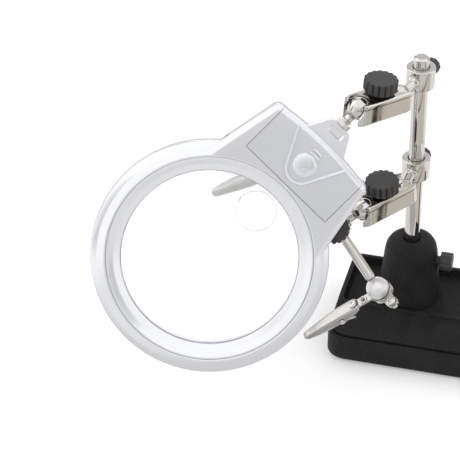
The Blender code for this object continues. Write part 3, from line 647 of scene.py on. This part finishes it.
def build_crossbar():
    piece("block_joint_ball", seated_ball(), BLOCK, CHROME, "block_ball", ["block_ball"])
    centre = shifted(BLOCK, BLOCK_REACH)
    outline = rounded_rectangle(-5.5, 5.5, -6, 6, 1.6, 6)
    body = rounded_top(outline, -5, 5, 0.8, 4, bottom=0.8)
    bar_in_block = (centre.inverted() @ BAR_FRAME).to_3x3().to_4x4()
    body = cut(body, moved(cylinder(2.8, -12, 12), bar_in_block), cylinder(1.9, 0, 9, 32),
               moved(cylinder(1.9, 3.6, 9, 32), TO_MINUS_X))
    piece("bar_block", body, centre, CHROME, "block", ["crossbar_block"],
          bevel=0.15, sharp=40, flat=True)
    stud = [(0, 5.4), (2.2, 5.4), (2.2, 8.3, 0.3), (3.6, 8.8, 0.3), (3.6, 10.0, 0.2), (1.6, 10.0),
            (1.6, 11.8), (0, 11.8)]
    piece("bar_block_stud", lathe(stud, 48), BLOCK @ TO_X, CHROME, "block", ["block_stud"])
    pin = [(0, 2.9), (1.6, 2.9, 0.2), (1.6, 9.7), (0, 9.7)]
    piece("bar_screw", lathe(pin, 32), centre, STEEL, "block_knob", ["crossbar_screw"])
    knob("bar_knob", centre, 5.75, "block_knob", "crossbar_knob", 7.6)
    shoulder = BAR_HALF - 1.0
    rod = [(0, -BAR_HALF), (2.1, -BAR_HALF), (2.5, -shoulder, 0.4), (2.5, shoulder, 0.4),
           (2.1, BAR_HALF), (0, BAR_HALF)]
    piece("cross_rod", lathe(rod, 48), BAR_FRAME, CHROME, "crossbar", ["crossbar_rod"])


def jaw_sheet(stations, wall):
    """A pressed U channel along x, from stations of (x, half width, web height, edge height, rounding)."""
    sections = []
    for x, half, web, edge, corner in stations:
        sign = 1 if web > edge else -1
        side, roof, bend = half - wall, web - sign * wall, max(0.05, corner - wall)
        outer = fillet([(-half, edge), (-half, web, corner), (half, web, corner), (half, edge)], False, 5)
        inner = fillet([(side, edge), (side, roof, bend), (-side, roof, bend), (-side, edge)], False, 5)
        sections.append([(x, y, z) for y, z in outer + inner])
    bm = loft(sections, cap=False)
    count = len(sections[0])
    verts = list(bm.verts)
    for ring in (verts[:count], verts[-count:]):
        for i in range(count // 2 - 1):
            bm.faces.new((ring[i], ring[i + 1], ring[count - 2 - i], ring[count - 1 - i]))
    return bm


def smooth_stations(keys, count):
    """Stations between the key ones, easing the width and heights with a Catmull-Rom curve."""
    result = []
    last = len(keys) - 1
    for i in range(count + 1):
        x = keys[0][0] + (keys[-1][0] - keys[0][0]) * i / count
        k = max(j for j in range(last) if keys[j][0] <= x + 1e-9)
        t = (x - keys[k][0]) / (keys[k + 1][0] - keys[k][0])
        p = [keys[max(0, k - 1)], keys[k], keys[k + 1], keys[min(last, k + 2)]]
        row = [x]
        for c in range(1, len(keys[0])):
            a, b, d, e = (q[c] for q in p)
            row.append(0.5 * (2 * b + (d - a) * t + (2 * a - 5 * b + 4 * d - e) * t * t
                              + (3 * b - a - 3 * d + e) * t ** 3))
        result.append(tuple(row))
    return result


def toothed(stations, height):
    """Saw the free edges from TEETH_FROM to the tip."""
    result = []
    for x, half, web, edge, corner in stations:
        if x > TEETH_FROM:
            phase = ((x - TEETH_FROM) / TOOTH_PITCH) % 1.0
            sign = 1 if web > edge else -1
            edge += sign * height * abs(2 * phase - 1)
        result.append((x, half, web, edge, corner))
    return result


def strap(end, half, rounding):
    """A flat strap from the cup's wall to its round tip."""
    outline = [(CUP_WALL, -half), (end, -half, rounding), (end, half, rounding), (CUP_WALL, half)]
    return prism(fillet(outline, steps=8), TAB_LOW, TAB_HIGH)


def build_bracket(side):
    """The cup behind the ball, a tab to the clip with an eye in it, and a wing with a screw."""
    place = CLIP[side]
    cup = lathe([(3.9, -6.3, 0.3), (5.4, -6.3, 0.8), (6.0, -5.0, 0.6), (6.0, -2.3, 0.3), (5.4, -2.3, 0.3),
                 (5.35, -4.3, 0.4), (3.9, -5.2, 0.3)], 72)
    eye_low, eye_top = TAB_HIGH - 0.2, TAB_HIGH + 0.4
    eye = lathe([(1.15, eye_low), (2.15, eye_low), (2.15, eye_top, 0.2), (1.15, eye_top, 0.2)], 48)
    turn = Matrix.Rotation(math.radians(112), 4, "Z")
    hole = turn @ Vector((10.6, 0, 0))
    cup = join(cup, strap(17.6, 2.1, 2.0), moved(strap(13.2, 2.9, 2.8), turn), moved(eye, at(EYE_X)))
    cup = cut(cup, cylinder(1.3, -6, 0, 32, RIVET_X), cylinder(1.2, -6, 0, 32, EYE_X),
              cylinder(1.5, -6, 0, 32, hole.x, hole.y))
    piece(side + "_bracket", cup, place, NICKEL, side + "_bracket", [side + "_clip_bracket"],
          bevel=0.18)
    screw = [(0, TAB_LOW - 2.2), (2.2, TAB_LOW - 2.2, 0.3), (2.3, TAB_LOW - 0.25), (1.2, TAB_LOW - 0.25),
             (1.2, TAB_HIGH + 0.25), (2.4, TAB_HIGH + 0.25, 0.2), (2.3, TAB_HIGH + 1.4, 0.5),
             (1.35, TAB_HIGH + 1.8, 0.2), (1.1, TAB_HIGH + 0.9), (0, TAB_HIGH + 0.8)]
    piece(side + "_cup_screw", moved(lathe(screw, 40), at(hole.x, hole.y)), place, STEEL,
          side + "_bracket_screw", [side + "_bracket_screw"])


def build_jaws(side):
    place = CLIP[side]
    upper = smooth_stations([
        (CLIP_REAR, 2.2, WEB - 0.5, WEB - 1.8, 0.9), (CLIP_REAR + 1.2, 3.3, WEB - 0.05, WEB - 2.4, 1.2),
        (CLIP_REAR + 3.0, 3.7, WEB, WEB - 3.0, 1.3), (PIVOT_X - 3, 3.7, WEB, WEB - 4.2, 1.3),
        (PIVOT_X, 3.65, WEB, WEB - 5.2, 1.3), (PIVOT_X + 3, 3.55, WEB - 0.15, WEB - 4.2, 1.25),
        (CLIP_TIP - 10, 2.8, WEB - 0.8, WEB - 3.5, 1.1), (CLIP_TIP - 1.2, 1.95, WEB - 1.75, WEB - 3.45, 0.9),
        (CLIP_TIP, 1.5, WEB - 2.15, WEB - 3.4, 0.6)], 66)
    lower = smooth_stations([
        (PIVOT_X - 6.2, 2.2, WEB - 8.0, WEB - 6.6, 0.7), (PIVOT_X - 4.4, 2.5, WEB - 7.2, WEB - 4.6, 0.8),
        (PIVOT_X - 2.0, 2.6, WEB - 6.4, WEB - 2.4, 0.9), (PIVOT_X + 2.0, 2.6, WEB - 6.2, WEB - 2.3, 0.9),
        (PIVOT_X + 5, 2.5, WEB - 6.1, WEB - 4.1, 0.9), (CLIP_TIP - 8, 2.4, WEB - 5.8, WEB - 3.8, 0.8),
        (CLIP_TIP - 1.2, 1.8, WEB - 5.1, WEB - 3.75, 0.7),
        (CLIP_TIP - 0.4, 1.4, WEB - 4.7, WEB - 3.75, 0.5)], 56)
    pivot = at(PIVOT_X, 0, PIVOT_Z) @ TO_Y
    top = cut(jaw_sheet(toothed(upper, 0.45), 0.6), moved(cylinder(1.15, -6, 6, 32), pivot),
              cylinder(1.3, -6, 2, 32, RIVET_X))
    piece(side + "_jaw_top", top, place, NICKEL, side + "_clip", [side + "_clip_upper_jaw"],
          sharp=38)
    bottom = cut(jaw_sheet(toothed(lower, -0.4), 0.55), moved(cylinder(1.15, -6, 6, 32), pivot))
    piece(side + "_jaw_bottom", bottom, place, NICKEL, side + "_clip_lower_jaw", [side + "_clip_lower_jaw"],
          sharp=38)


def build_clip(side):
    place = CLIP[side]
    piece(side + "_bar_ball", seated_ball(), place, SATIN, side + "_end_ball", [side + "_end_ball"])
    build_bracket(side)
    build_jaws(side)
    hinge = shifted(place, PIVOT_X, 0, PIVOT_Z) @ TO_Y
    pin = lathe([(0, -4.6), (1.3, -4.6, 0.3), (1.4, -3.95, 0.1), (0.8, -3.95), (0.8, 3.95), (1.4, 3.95, 0.1),
                 (1.3, 4.6, 0.3), (0, 4.6)], 32)
    piece(side + "_jaw_pin", pin, hinge, STEEL, side + "_clip", [side + "_clip_pin"])
    piece(side + "_jaw_spring", spring(1.6, 0.28, -1.6, 1.6, 4, 18, 8), hinge, STEEL, side + "_clip",
          [side + "_clip_spring"])
    rivet = [(0, TAB_LOW - 0.9), (1.8, TAB_LOW - 0.9, 0.3), (2.0, TAB_LOW - 0.25), (1.0, TAB_LOW - 0.25),
             (1.0, WEB + 0.25), (2.2, WEB + 0.25, 0.2), (2.0, WEB + 0.9, 0.4), (0.9, WEB + 1.05, 0.1),
             (0.75, WEB + 0.5), (0, WEB + 0.45)]
    piece(side + "_jaw_rivet", moved(lathe(rivet, 40), at(RIVET_X)), place, STEEL, side + "_clip",
          [side + "_clip_rivet"])


# ---------------------------------------- magnifier head

RING_R = 58.0
SEAM_R = 50.2
BEZEL_R = 43.2
LENS_R = 45.0
LENS_EDGE = 1.1
LENS_CROWN = 4.5
INSERT_R = 9.7
INSERT_X = 32.0
TOP = 7.0
BACK = 7.2
RING_BACK = 5.2
SEAT_Z = LENS_EDGE + 0.35
END = 77.8
BULGE = 2.0
CORNER_Y = 30.35
LIP = 0.42
EDGE = 2.6
TRAY_EDGE = 1.7
NECK_START = END - 0.6
NECK_END = 89.8
NECK_HIGH = 5.7
NECK_LOW = 2.6
COVER_START = 52.0
COVER_HALF = 26.4
COVER_LOW = TOP - 1.3
CELLS = ((53.5, -24.8), (77.0, 24.8))
SWITCH_X = 62.0
SWITCH_Y = 29.0
LED_X = 45.0
LED_Y = 33.0


def housing_outline():
    bow = []
    for i in range(25):
        y = -23.5 + 47.0 * i / 24
        bow.append((END + BULGE * (1 - (y / 25.7) ** 2), y))
    side, corner = END + 0.1, 8.5
    points = [(20.0, -41.4), (side, -CORNER_Y, corner)] + bow + [(side, CORNER_Y, corner), (20.0, 41.4)]
    return fillet(points, steps=10)


def housing_skin(low, flank):
    """The housing's upper skin, from low to TOP. Flank is the (inset, drop) pairs at the bevel's foot."""
    outline = inset(housing_outline(), LIP)
    crest = [(EDGE - 0.5, 0.10), (EDGE - 0.2, 0.025), (EDGE, 0)]
    return layers((outline, low), *[(inset(outline, across), TOP - drop) for across, drop in flank + crest])


def build_front_shell():
    inner = SEAM_R + 0.10
    ring = [(inner, 0.15), (RING_R - LIP, 0.15), (RING_R - LIP, 3.0, 1.4), (54.6, 5.25, 6.0),
            (SEAM_R + 0.9, TOP, 0.5), (inner, TOP - 0.2, 0.2)]
    housing = housing_skin(0.15, [(0, EDGE * 0.95), (0.12, EDGE * 0.80), (0.35, EDGE * 0.66)])
    shell = join(lathe(ring, 192), cut(housing, cylinder(SEAM_R + 0.7, -2, TOP + 2, 192)))
    (x0, y0), (x1, y1) = CELLS
    half = COVER_HALF + 0.32
    shell = cut(shell, box((COVER_START - 0.35, -half, COVER_LOW - 0.3), (95, half, TOP + 2)),
                box((x0, y0, -1), (x1, y1, TOP), 1.0))
    piece("front_shell", shell, HEAD, SILVER, "head", ["head_front_shell"], bevel=0.14, sharp=28)


def build_neck():
    """The neck's block, cut to a slope, the slot in that slope, and the tongue that joins it to the tray."""
    start = NECK_START
    outline = fillet([(start, -13), (NECK_END - 1.5, -6.6, 1.2), (NECK_END, -5, 1.0), (NECK_END, 5, 1.0),
                      (NECK_END - 1.5, 6.6, 1.2), (start, 13)])
    fall = math.atan2(NECK_HIGH - NECK_LOW, NECK_END - start)
    slope = at(start, 0, NECK_HIGH) @ Matrix.Rotation(fall, 4, "Y")
    neck = cut(prism(outline, -5.4, NECK_HIGH + 1), moved(box((-10, -20, 0), (30, 20, 9)), slope))
    floor = rounded_rectangle(-1.3, 1.4, -3.6, 3.6, 0.6, 4)
    mouth = rounded_rectangle(-2.6, 2.0, -4.7, 4.7, 1.2, 4)
    slot = moved(layers((floor, -0.6), (mouth, 0.25)), slope @ at(NECK_END - start - 3.3))
    tongue = prism([(74, -12), (END + 2, -11), (END + 2, 11), (74, 12)], -5.0, -0.5)
    return tongue, neck, slot


def build_rear_shell():
    side = LENS_R + 0.35
    ring = [(43.5, -SEAT_Z - 0.3, 0.3), (43.5, -RING_BACK, 0.8), (RING_R - 2, -RING_BACK, 1.6),
            (RING_R, -RING_BACK + 1.9, 1.2), (RING_R, -0.15, 0.3), (SEAM_R, -0.15), (SEAM_R, LENS_EDGE),
            (side, LENS_EDGE), (side, -SEAT_Z)]
    outline = housing_outline()
    tray = [(inset(outline, TRAY_EDGE * (1 - rise)), TRAY_EDGE * fall - BACK) for rise, fall in quarter(5, 0)]
    tray = cut(layers(*tray, (outline, -0.22)), cylinder((LENS_R + SEAM_R) / 2, -9, 8, 192))
    tongue, neck, slot = build_neck()
    shell = join(lathe(ring, 192), tray, tongue, neck)
    (x0, y0), (x1, y1) = CELLS
    shell = cut(shell, slot, box((x0, y0, -BACK + 1.6), (x1, y1, 2), 1.0),
                moved(cylinder(2.3, NECK_END - 8, NECK_END + 4), TO_X))
    mouth = [(0, -BACK - 1), (3.2, -BACK - 1), (1.9, -BACK + 0.7), (0, -BACK + 0.7)]
    for y in (-LED_Y, LED_Y):
        shell = cut(shell, box((LED_X - 3.6, y - 2.9, -BACK + 1.8), (LED_X + 3.6, y + 2.9, 2)),
                    cylinder(1.85, -10, 0, 40, LED_X, y), moved(lathe(mouth, 40), at(LED_X, y)))
    shell = cut(shell, box((SWITCH_X - 5, SWITCH_Y - 2.2, -BACK + 1.8), (SWITCH_X + 5, SWITCH_Y + 2.2, 2)),
                box((SWITCH_X - 3.8, SWITCH_Y - 1.3, -12), (SWITCH_X + 3.8, SWITCH_Y + 1.3, 0), 0.4))
    for x, y in ((50.5, 30.5), (50.5, -30.5), (70.0, -29.0), (-44.0, 28.0), (-44.0, -28.0)):
        z = -RING_BACK if x < 0 else -BACK
        well = lathe([(0, z - 1), (2.3, z - 1), (2.3, z + 1.2, 0.3), (0, z + 1.2)], 32)
        shell = cut(shell, moved(well, at(x, y)))
    piece("rear_shell", shell, HEAD, SILVER, "head", ["head_rear_shell"],
          bevel=0.14, sharp=28, flat=True)


def lens_height(r):
    return LENS_EDGE + (LENS_CROWN - LENS_EDGE) * (1 - (r / LENS_R) ** 2)


def insert_ring(radius, lift, sign=1, count=120):
    """A circle round the insert's middle, lifted off the lens's curved front, or its back with sign -1."""
    points = circle(radius, count, INSERT_X)
    return [(x, y, sign * (lens_height(math.hypot(x, y)) + lift)) for x, y in points]


def build_lens():
    steps = 28
    radii = [LENS_R * i / steps for i in range(steps + 1)]
    profile = [(r, -lens_height(r)) for r in radii] + [(r, lens_height(r)) for r in reversed(radii)]
    lens = cut(lathe(profile, 160), cylinder(INSERT_R + 0.06, -8, 8, 96, INSERT_X))
    piece("main_lens", lens, HEAD, LENS, "head", ["main_lens"], sharp=50)
    dome = [(INSERT_R * i / 10, 0.12 + 0.8 * (1 - (i / 10) ** 2)) for i in range(1, 11)]
    sections = [insert_ring(radius, lift, -1, 96) for radius, lift in dome]
    sections += [insert_ring(radius, lift, 1, 96) for radius, lift in reversed(dome)]
    piece("insert_lens", loft(sections), HEAD, INSERT, "head", ["insert_lens"], sharp=50)


def build_lens_rings():
    """A painted dark band that stands in for the shade on the bezel's inner wall at the lens's edge, and the
    line where the stronger insert meets the lens.
    """
    low, high = BEZEL_R - 0.28, BEZEL_R + 0.3
    # A grey ring on the bezel's inner wall above the lens, painted shade rather than a part.
    seat = lathe([(low, 2.3), (high, 2.3), (high, 2.75), (low, 2.75)], 192)
    piece("lens_edge_shade", seat, HEAD, EDGE_SHADE, "head")
    low, high = INSERT_R - 0.12, INSERT_R + 0.12
    corners = ((low, -0.1), (high, -0.1), (high, 0.14), (low, 0.14))
    rim = loft([insert_ring(radius, lift) for radius, lift in corners], closed=True)
    piece("insert_rim", rim, HEAD, RIM, "head")


def build_bezel():
    side = SEAM_R - 0.06
    profile = [(side, SEAT_Z), (side, TOP - 0.45, 0.2), (SEAM_R - 0.8, TOP - 0.35, 0.3),
               (46.6, 4.75, 9.0), (BEZEL_R + 0.3, 3.35, 0.3), (BEZEL_R, 2.9, 0.2),
               (BEZEL_R, SEAT_Z + 0.5, 0.2), (LENS_R, SEAT_Z)]
    piece("bezel", lathe(profile, 192), HEAD, SILVER, "head", ["bezel_ring"])


def ribbon(path, width, height, base, closed=False):
    """A half-round rib of the given width and height that follows a path on the plane z = base."""
    sections = []
    count = len(path)
    for i, point in enumerate(path):
        here = Vector(point)
        before = Vector(path[i - 1]) if i or closed else here
        after = Vector(path[(i + 1) % count]) if i < count - 1 or closed else here
        along = (after - before).normalized()
        side = Vector((-along.y, along.x))
        arc = []
        for t in (math.pi * k / 6 for k in range(7)):
            spot = here + side * (width / 2 * math.cos(t))
            arc.append((spot.x, spot.y, base + height * math.sin(t)))
        sections.append(arc + [(arc[-1][0], arc[-1][1], base - 0.3), (arc[0][0], arc[0][1], base - 0.3)])
    return loft(sections, closed=closed)


def cover_rib():
    """A rib bent round an arc in front of the bulb, with straight legs that spread to the housing's end."""
    apex_x, radius = 62.6, 7.4
    spread = math.radians(62.5)
    turns = [spread * (i / 14) for i in range(-14, 15)]
    bend = [(apex_x - radius * math.cos(t), radius * math.sin(t)) for t in turns]
    end = 76.6
    drop = (end - bend[-1][0]) * math.cos(spread) / math.sin(spread)
    path = [(end, bend[0][1] - drop)] + bend + [(end, bend[-1][1] + drop)]
    return ribbon(path, 1.6, 1.0, TOP)


def bulb_emblem():
    """A generic raised light bulb: a low dome, a neck with two ridges, a curl and a filament."""
    dome = lathe([(0, TOP - 0.3), (5.9, TOP - 0.3), (5.9, TOP + 0.15), (5.4, TOP + 0.5), (4.5, TOP + 0.86),
                  (3.2, TOP + 1.14), (1.6, TOP + 1.3), (0, TOP + 1.35)], 72)
    neck = fillet([(69.0, -3.4), (72.6, -2.6, 0.6), (72.6, 2.6, 0.6), (69.0, 3.4)])
    turns = [math.radians(345 * i / 24) for i in range(25)]
    curl = [(62.6 + 1.35 * math.cos(t), -1.6 + 1.35 * math.sin(t)) for t in turns]
    filament = [(66.8, 1.6), (65.6, 0.8), (66.6, 0.0), (65.6, -0.8), (66.8, -1.6)]
    return [moved(dome, at(65.0)), prism(neck, TOP - 0.3, TOP + 0.45),
            ribbon([(71.3, -2.9), (71.6, -1.3), (71.7, 0), (71.6, 1.3), (71.3, 2.9)], 1.5, 1.1, TOP),
            ribbon([(73.2, -2.5), (73.55, -1.1), (73.65, 0), (73.55, 1.1), (73.2, 2.5)], 1.5, 1.0, TOP),
            ribbon(curl, 0.7, 0.45, TOP + 1.2, closed=True), ribbon(filament, 0.6, 0.4, TOP + 1.1)]


def build_cover():
    blank = housing_skin(COVER_LOW, [(0, EDGE * 0.49), (0.35, EDGE * 0.4)])
    keep = box((COVER_START + 0.12, -COVER_HALF, COVER_LOW - 1), (95, COVER_HALF, TOP + 1))
    cover = merged(combine(blank, keep, "INTERSECT"), cover_rib(), *bulb_emblem())
    piece("cover_panel", cover, HEAD, COVER, "battery_cover", ["battery_cover"],
          bevel=0.12, sharp=28)


def build_inner_parts():
    cell = [(0, -22.25), (4.6, -22.25, 0.3), (5.25, -21.7, 0.4), (5.25, 20.7, 0.4), (4.6, 21.25, 0.3),
            (1.9, 21.3), (1.9, 22.25, 0.3), (0, 22.25)]
    for name, x, turn in (("1", 59.5, TO_Y), ("2", 71.0, TO_Y @ FLIP)):
        piece("cell_" + name, lathe(cell, 56), shifted(HEAD, x) @ turn, WRAP, "head",
              ["battery_cell_" + name])
    for name, y in (("left", 22.65), ("right", -23.25)):
        strip = box((55.5, y, -4.2), (75.0, y + 0.6, 4.2), 0.1)
        piece("contact_" + name, strip, HEAD, CONTACT, "head", ["battery_contact_" + name],
              bevel=0.1)
    led = [(0, -8.4), (0.9, -8.2, 0.7), (1.45, -7.1, 0.4), (1.45, -3.0), (1.7, -3.0, 0.1),
           (1.7, -1.9, 0.1), (0, -1.9)]
    for name, y in (("left", LED_Y), ("right", -LED_Y)):
        piece("diode_" + name, lathe(led, 40), shifted(HEAD, LED_X, y), LED, "head", ["led_" + name])
    slider = box((-2.6, -1.8, -5.1), (2.6, 1.8, -4.0), 0.2)
    stem = box((-1.6, -1.0, -8.3), (1.6, 1.0, -4.6), 0.15)
    ribs = [box((x - 0.25, -1.0, -8.6), (x + 0.25, 1.0, -8.2)) for x in (-1.2, -0.4, 0.4, 1.2)]
    piece("slide_switch", merged(slider, stem, *ribs), shifted(HEAD, SWITCH_X - 1.5, SWITCH_Y), SWITCH,
          "switch_slider", ["switch_slider"], bevel=0.08)


def build_head_joint():
    piece("neck_ball", seated_ball(), HEAD_AT_BALL, CHROME, "head_ball", ["head_ball"])
    root, flange, end = NECK_END - 7.5, NECK_END + 3.1, HEAD_REACH - BALL_R + 0.35
    stud = [(0, root), (1.9, root), (1.9, flange), (2.9, flange + 0.1, 0.1), (2.9, flange + 0.8, 0.2),
            (2.2, flange + 1.1, 0.2), (2.2, end), (0, end)]
    piece("neck_stud", lathe(stud, 48), HEAD @ TO_X, CHROME, "head_stud", ["head_stud"])
    low, high = NECK_END + 0.2, NECK_END + 2.8
    hexagon = prism(circle(4.2, 6), low + 0.1, high - 0.1)
    chamfer = lathe([(0, low), (3.9, low), (4.3, low + 0.6), (4.3, high - 0.6), (3.9, high), (0, high)], 48)
    nut = cut(combine(hexagon, chamfer, "INTERSECT"), cylinder(2.0, NECK_END - 1, NECK_END + 5, 40))
    piece("neck_nut", nut, HEAD @ TO_X, CHROME, "head_stud", ["head_stud_nut"],
          bevel=0.12, flat=True)


build_base()
for side in SIDES:
    build_collar(side)
build_arm("upper", 7.0)
build_arm("lower", 5.9)
build_crossbar()
for side in SIDES:
    build_clip(side)
build_front_shell()
build_rear_shell()
build_lens()
build_bezel()
build_lens_rings()
build_cover()
build_inner_parts()
build_head_joint()


# ---------------------------------------- stage, light and camera

AZIMUTH = math.radians(14.5)
ELEVATION = math.radians(36.0)
CAMERA_AT = Vector((114.2, -978.2, 780.8)) * MM
SENSOR = 36.0
FOCAL_RATIO = 5.2173913  # the lens's length over the sensor's width
TOWARDS = Vector((math.sin(AZIMUTH) * math.cos(ELEVATION), -math.cos(AZIMUTH) * math.cos(ELEVATION),
                  math.sin(ELEVATION)))
RIGHT = Vector((math.cos(AZIMUTH), math.sin(AZIMUTH), 0))
ABOVE = TOWARDS.cross(RIGHT)

# The dome's strength in front, and what it gains at both sides, at the right and overhead, then its
# limits, and the place, half width and depth of its dark band.
DOME_FRONT = 0.95
DOME_SIDES = 1.45
DOME_LEFT = -0.15
DOME_HIGH = 1.0
DOME_LEAST = 0.45
DOME_MOST = 1.30
BAND_AT = 0.35
BAND_HALF = 0.3
BAND_DROP = 0.5

FLOOR_HALF = 4000
FLOOR_Z = -0.2
DARK = (0.030, 0.027, 0.021)
WARM = (0.80, 0.745, 0.66)
BROWN = (0.10, 0.088, 0.070)


def sheet(name, corners, settings):
    """One flat face of the stage, its corners in millimetres, with these shader settings."""
    bm = bmesh.new()
    bm.faces.new([bm.verts.new(Vector(corner) * MM) for corner in corners])
    mesh = to_mesh(name, bm)
    mesh.materials.append(new_material(name, settings)[0])
    obj = add_object(name, mesh)
    return obj


def rectangle(x0, x1, y0, y1, z):
    return [(x0, y0, z), (x1, y0, z), (x1, y1, z), (x0, y1, z)]


def card(name, corners, colour):
    """A card that only shiny surfaces see, of one even tone."""
    obj = sheet(name, corners, {"Base Color": (0, 0, 0, 1), "Specular IOR Level": 0.0,
                                "Emission Color": (*colour, 1.0), "Emission Strength": 1.0})
    obj.visible_camera = False
    obj.visible_diffuse = False
    obj.visible_shadow = False
    obj.visible_transmission = False


def build_cards():
    card("near_card", [(-330, -75, 2), (-330, -160, 2), (170, -160, 2), (120, -60, 2)], (0.60, 0.60, 0.60))
    card("far_card", [(-330, -162, 2), (-1300, -2200, 2), (1900, -1900, 2), (170, -162, 2)],
         (0.88, 0.88, 0.88))
    card("right_card", [(125, -60, 2), (175, -162, 2), (1900, -1850, 2), (2600, -900, 2), (400, -30, 2)],
         (0.76, 0.76, 0.76))
    strips = ((-52, 6, WARM), (-34.9, -32.0, DARK), (-31.2, -30.1, BROWN), (-37.8, -37.2, BROWN))
    for arm, x0, x1, z in (("upper", -45, 60, 114), ("lower", -30, 40, 57)):
        for i, (y0, y1, tone) in enumerate(strips):
            card("%s_card_%d" % (arm, i), rectangle(x0, x1, y0, y1, z + i / 4), tone)
    reach, foot, top = 1500.0, 5, 1300
    for i, (angle, width) in enumerate(((-62, 7), (-28, 4), (38, 6), (72, 10), (140, 9), (215, 9))):
        turns = [math.radians(angle - 90 + k) for k in (-width / 2, width / 2)]
        start, end = [(reach * math.cos(t), reach * math.sin(t)) for t in turns]
        card("tall_card_%d" % i, [(*start, foot), (*end, foot), (*end, top), (*start, top)], DARK)


def build_world():
    """A pale dome, brighter overhead and at both sides than straight in front, with a darker band beyond."""
    world = bpy.data.worlds.new("studio")
    world.use_nodes = True
    nodes = world.node_tree.nodes
    links = world.node_tree.links

    def calc(operation, *values):
        node = nodes.new("ShaderNodeMath")
        node.operation = operation
        for socket, value in zip(node.inputs, values):
            if isinstance(value, float):
                socket.default_value = value
            else:
                links.new(value, socket)
        return node.outputs["Value"]

    place = nodes.new("ShaderNodeTexCoord")
    along = []
    for direction in (RIGHT, ABOVE, TOWARDS):
        dot = nodes.new("ShaderNodeVectorMath")
        dot.operation = "DOT_PRODUCT"
        dot.inputs[1].default_value = tuple(direction)
        links.new(place.outputs["Generated"], dot.inputs[0])
        along.append(dot.outputs["Value"])
    sides = calc("MULTIPLY", calc("MULTIPLY", along[0], along[0]), DOME_SIDES)
    left = calc("MULTIPLY", along[0], DOME_LEFT)
    high = calc("MULTIPLY", along[1], DOME_HIGH)
    total = calc("ADD", calc("ADD", sides, high), calc("ADD", left, DOME_FRONT))
    total = calc("MINIMUM", calc("MAXIMUM", total, DOME_LEAST), DOME_MOST)
    off = calc("DIVIDE", calc("ADD", along[2], BAND_AT), BAND_HALF)
    band = calc("SUBTRACT", 1.0, calc("MULTIPLY", off, off))
    band = calc("MULTIPLY", calc("MAXIMUM", band, 0.0), BAND_DROP)
    links.new(calc("SUBTRACT", total, band), nodes["Background"].inputs["Strength"])
    nodes["Background"].inputs["Color"].default_value = (1.0, 1.0, 1.0, 1.0)
    bpy.context.scene.world = world


def build_floor():
    sheet("floor", rectangle(-FLOOR_HALF, FLOOR_HALF, -FLOOR_HALF, FLOOR_HALF, FLOOR_Z), {
        "Base Color": (0.72, 0.72, 0.72, 1.0), "Roughness": 0.9,
        "Emission Color": (1.0, 1.0, 1.0, 1.0), "Emission Strength": 0.24})


def build_key():
    """A soft square light above the left of the lens, aimed at its middle."""
    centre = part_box("main_lens")[0].lerp(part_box("main_lens")[1], 0.5)
    offset = -RIGHT * 0.80 + ABOVE * 0.85 + TOWARDS * 0.25
    light = bpy.data.lights.new("key", "AREA")
    light.shape = "RECTANGLE"
    light.size = 0.9
    light.size_y = 0.9
    light.energy = 1.2
    matrix = (-offset).to_track_quat("-Z", "Y").to_matrix().to_4x4()
    matrix.translation = centre + offset
    add_object("key", light).matrix_world = matrix


def build_camera():
    camera = bpy.data.cameras.new("camera")
    camera.sensor_width = SENSOR
    camera.lens = FOCAL_RATIO * SENSOR
    camera.clip_start = 0.05
    camera.clip_end = 20.0
    obj = add_object("camera", camera)
    obj.matrix_world = axes_at(CAMERA_AT, RIGHT, ABOVE, TOWARDS)
    bpy.context.scene.camera = obj
    bpy.context.scene.view_settings.view_transform = "Standard"


build_floor()
build_world()
build_cards()
build_key()
build_camera()
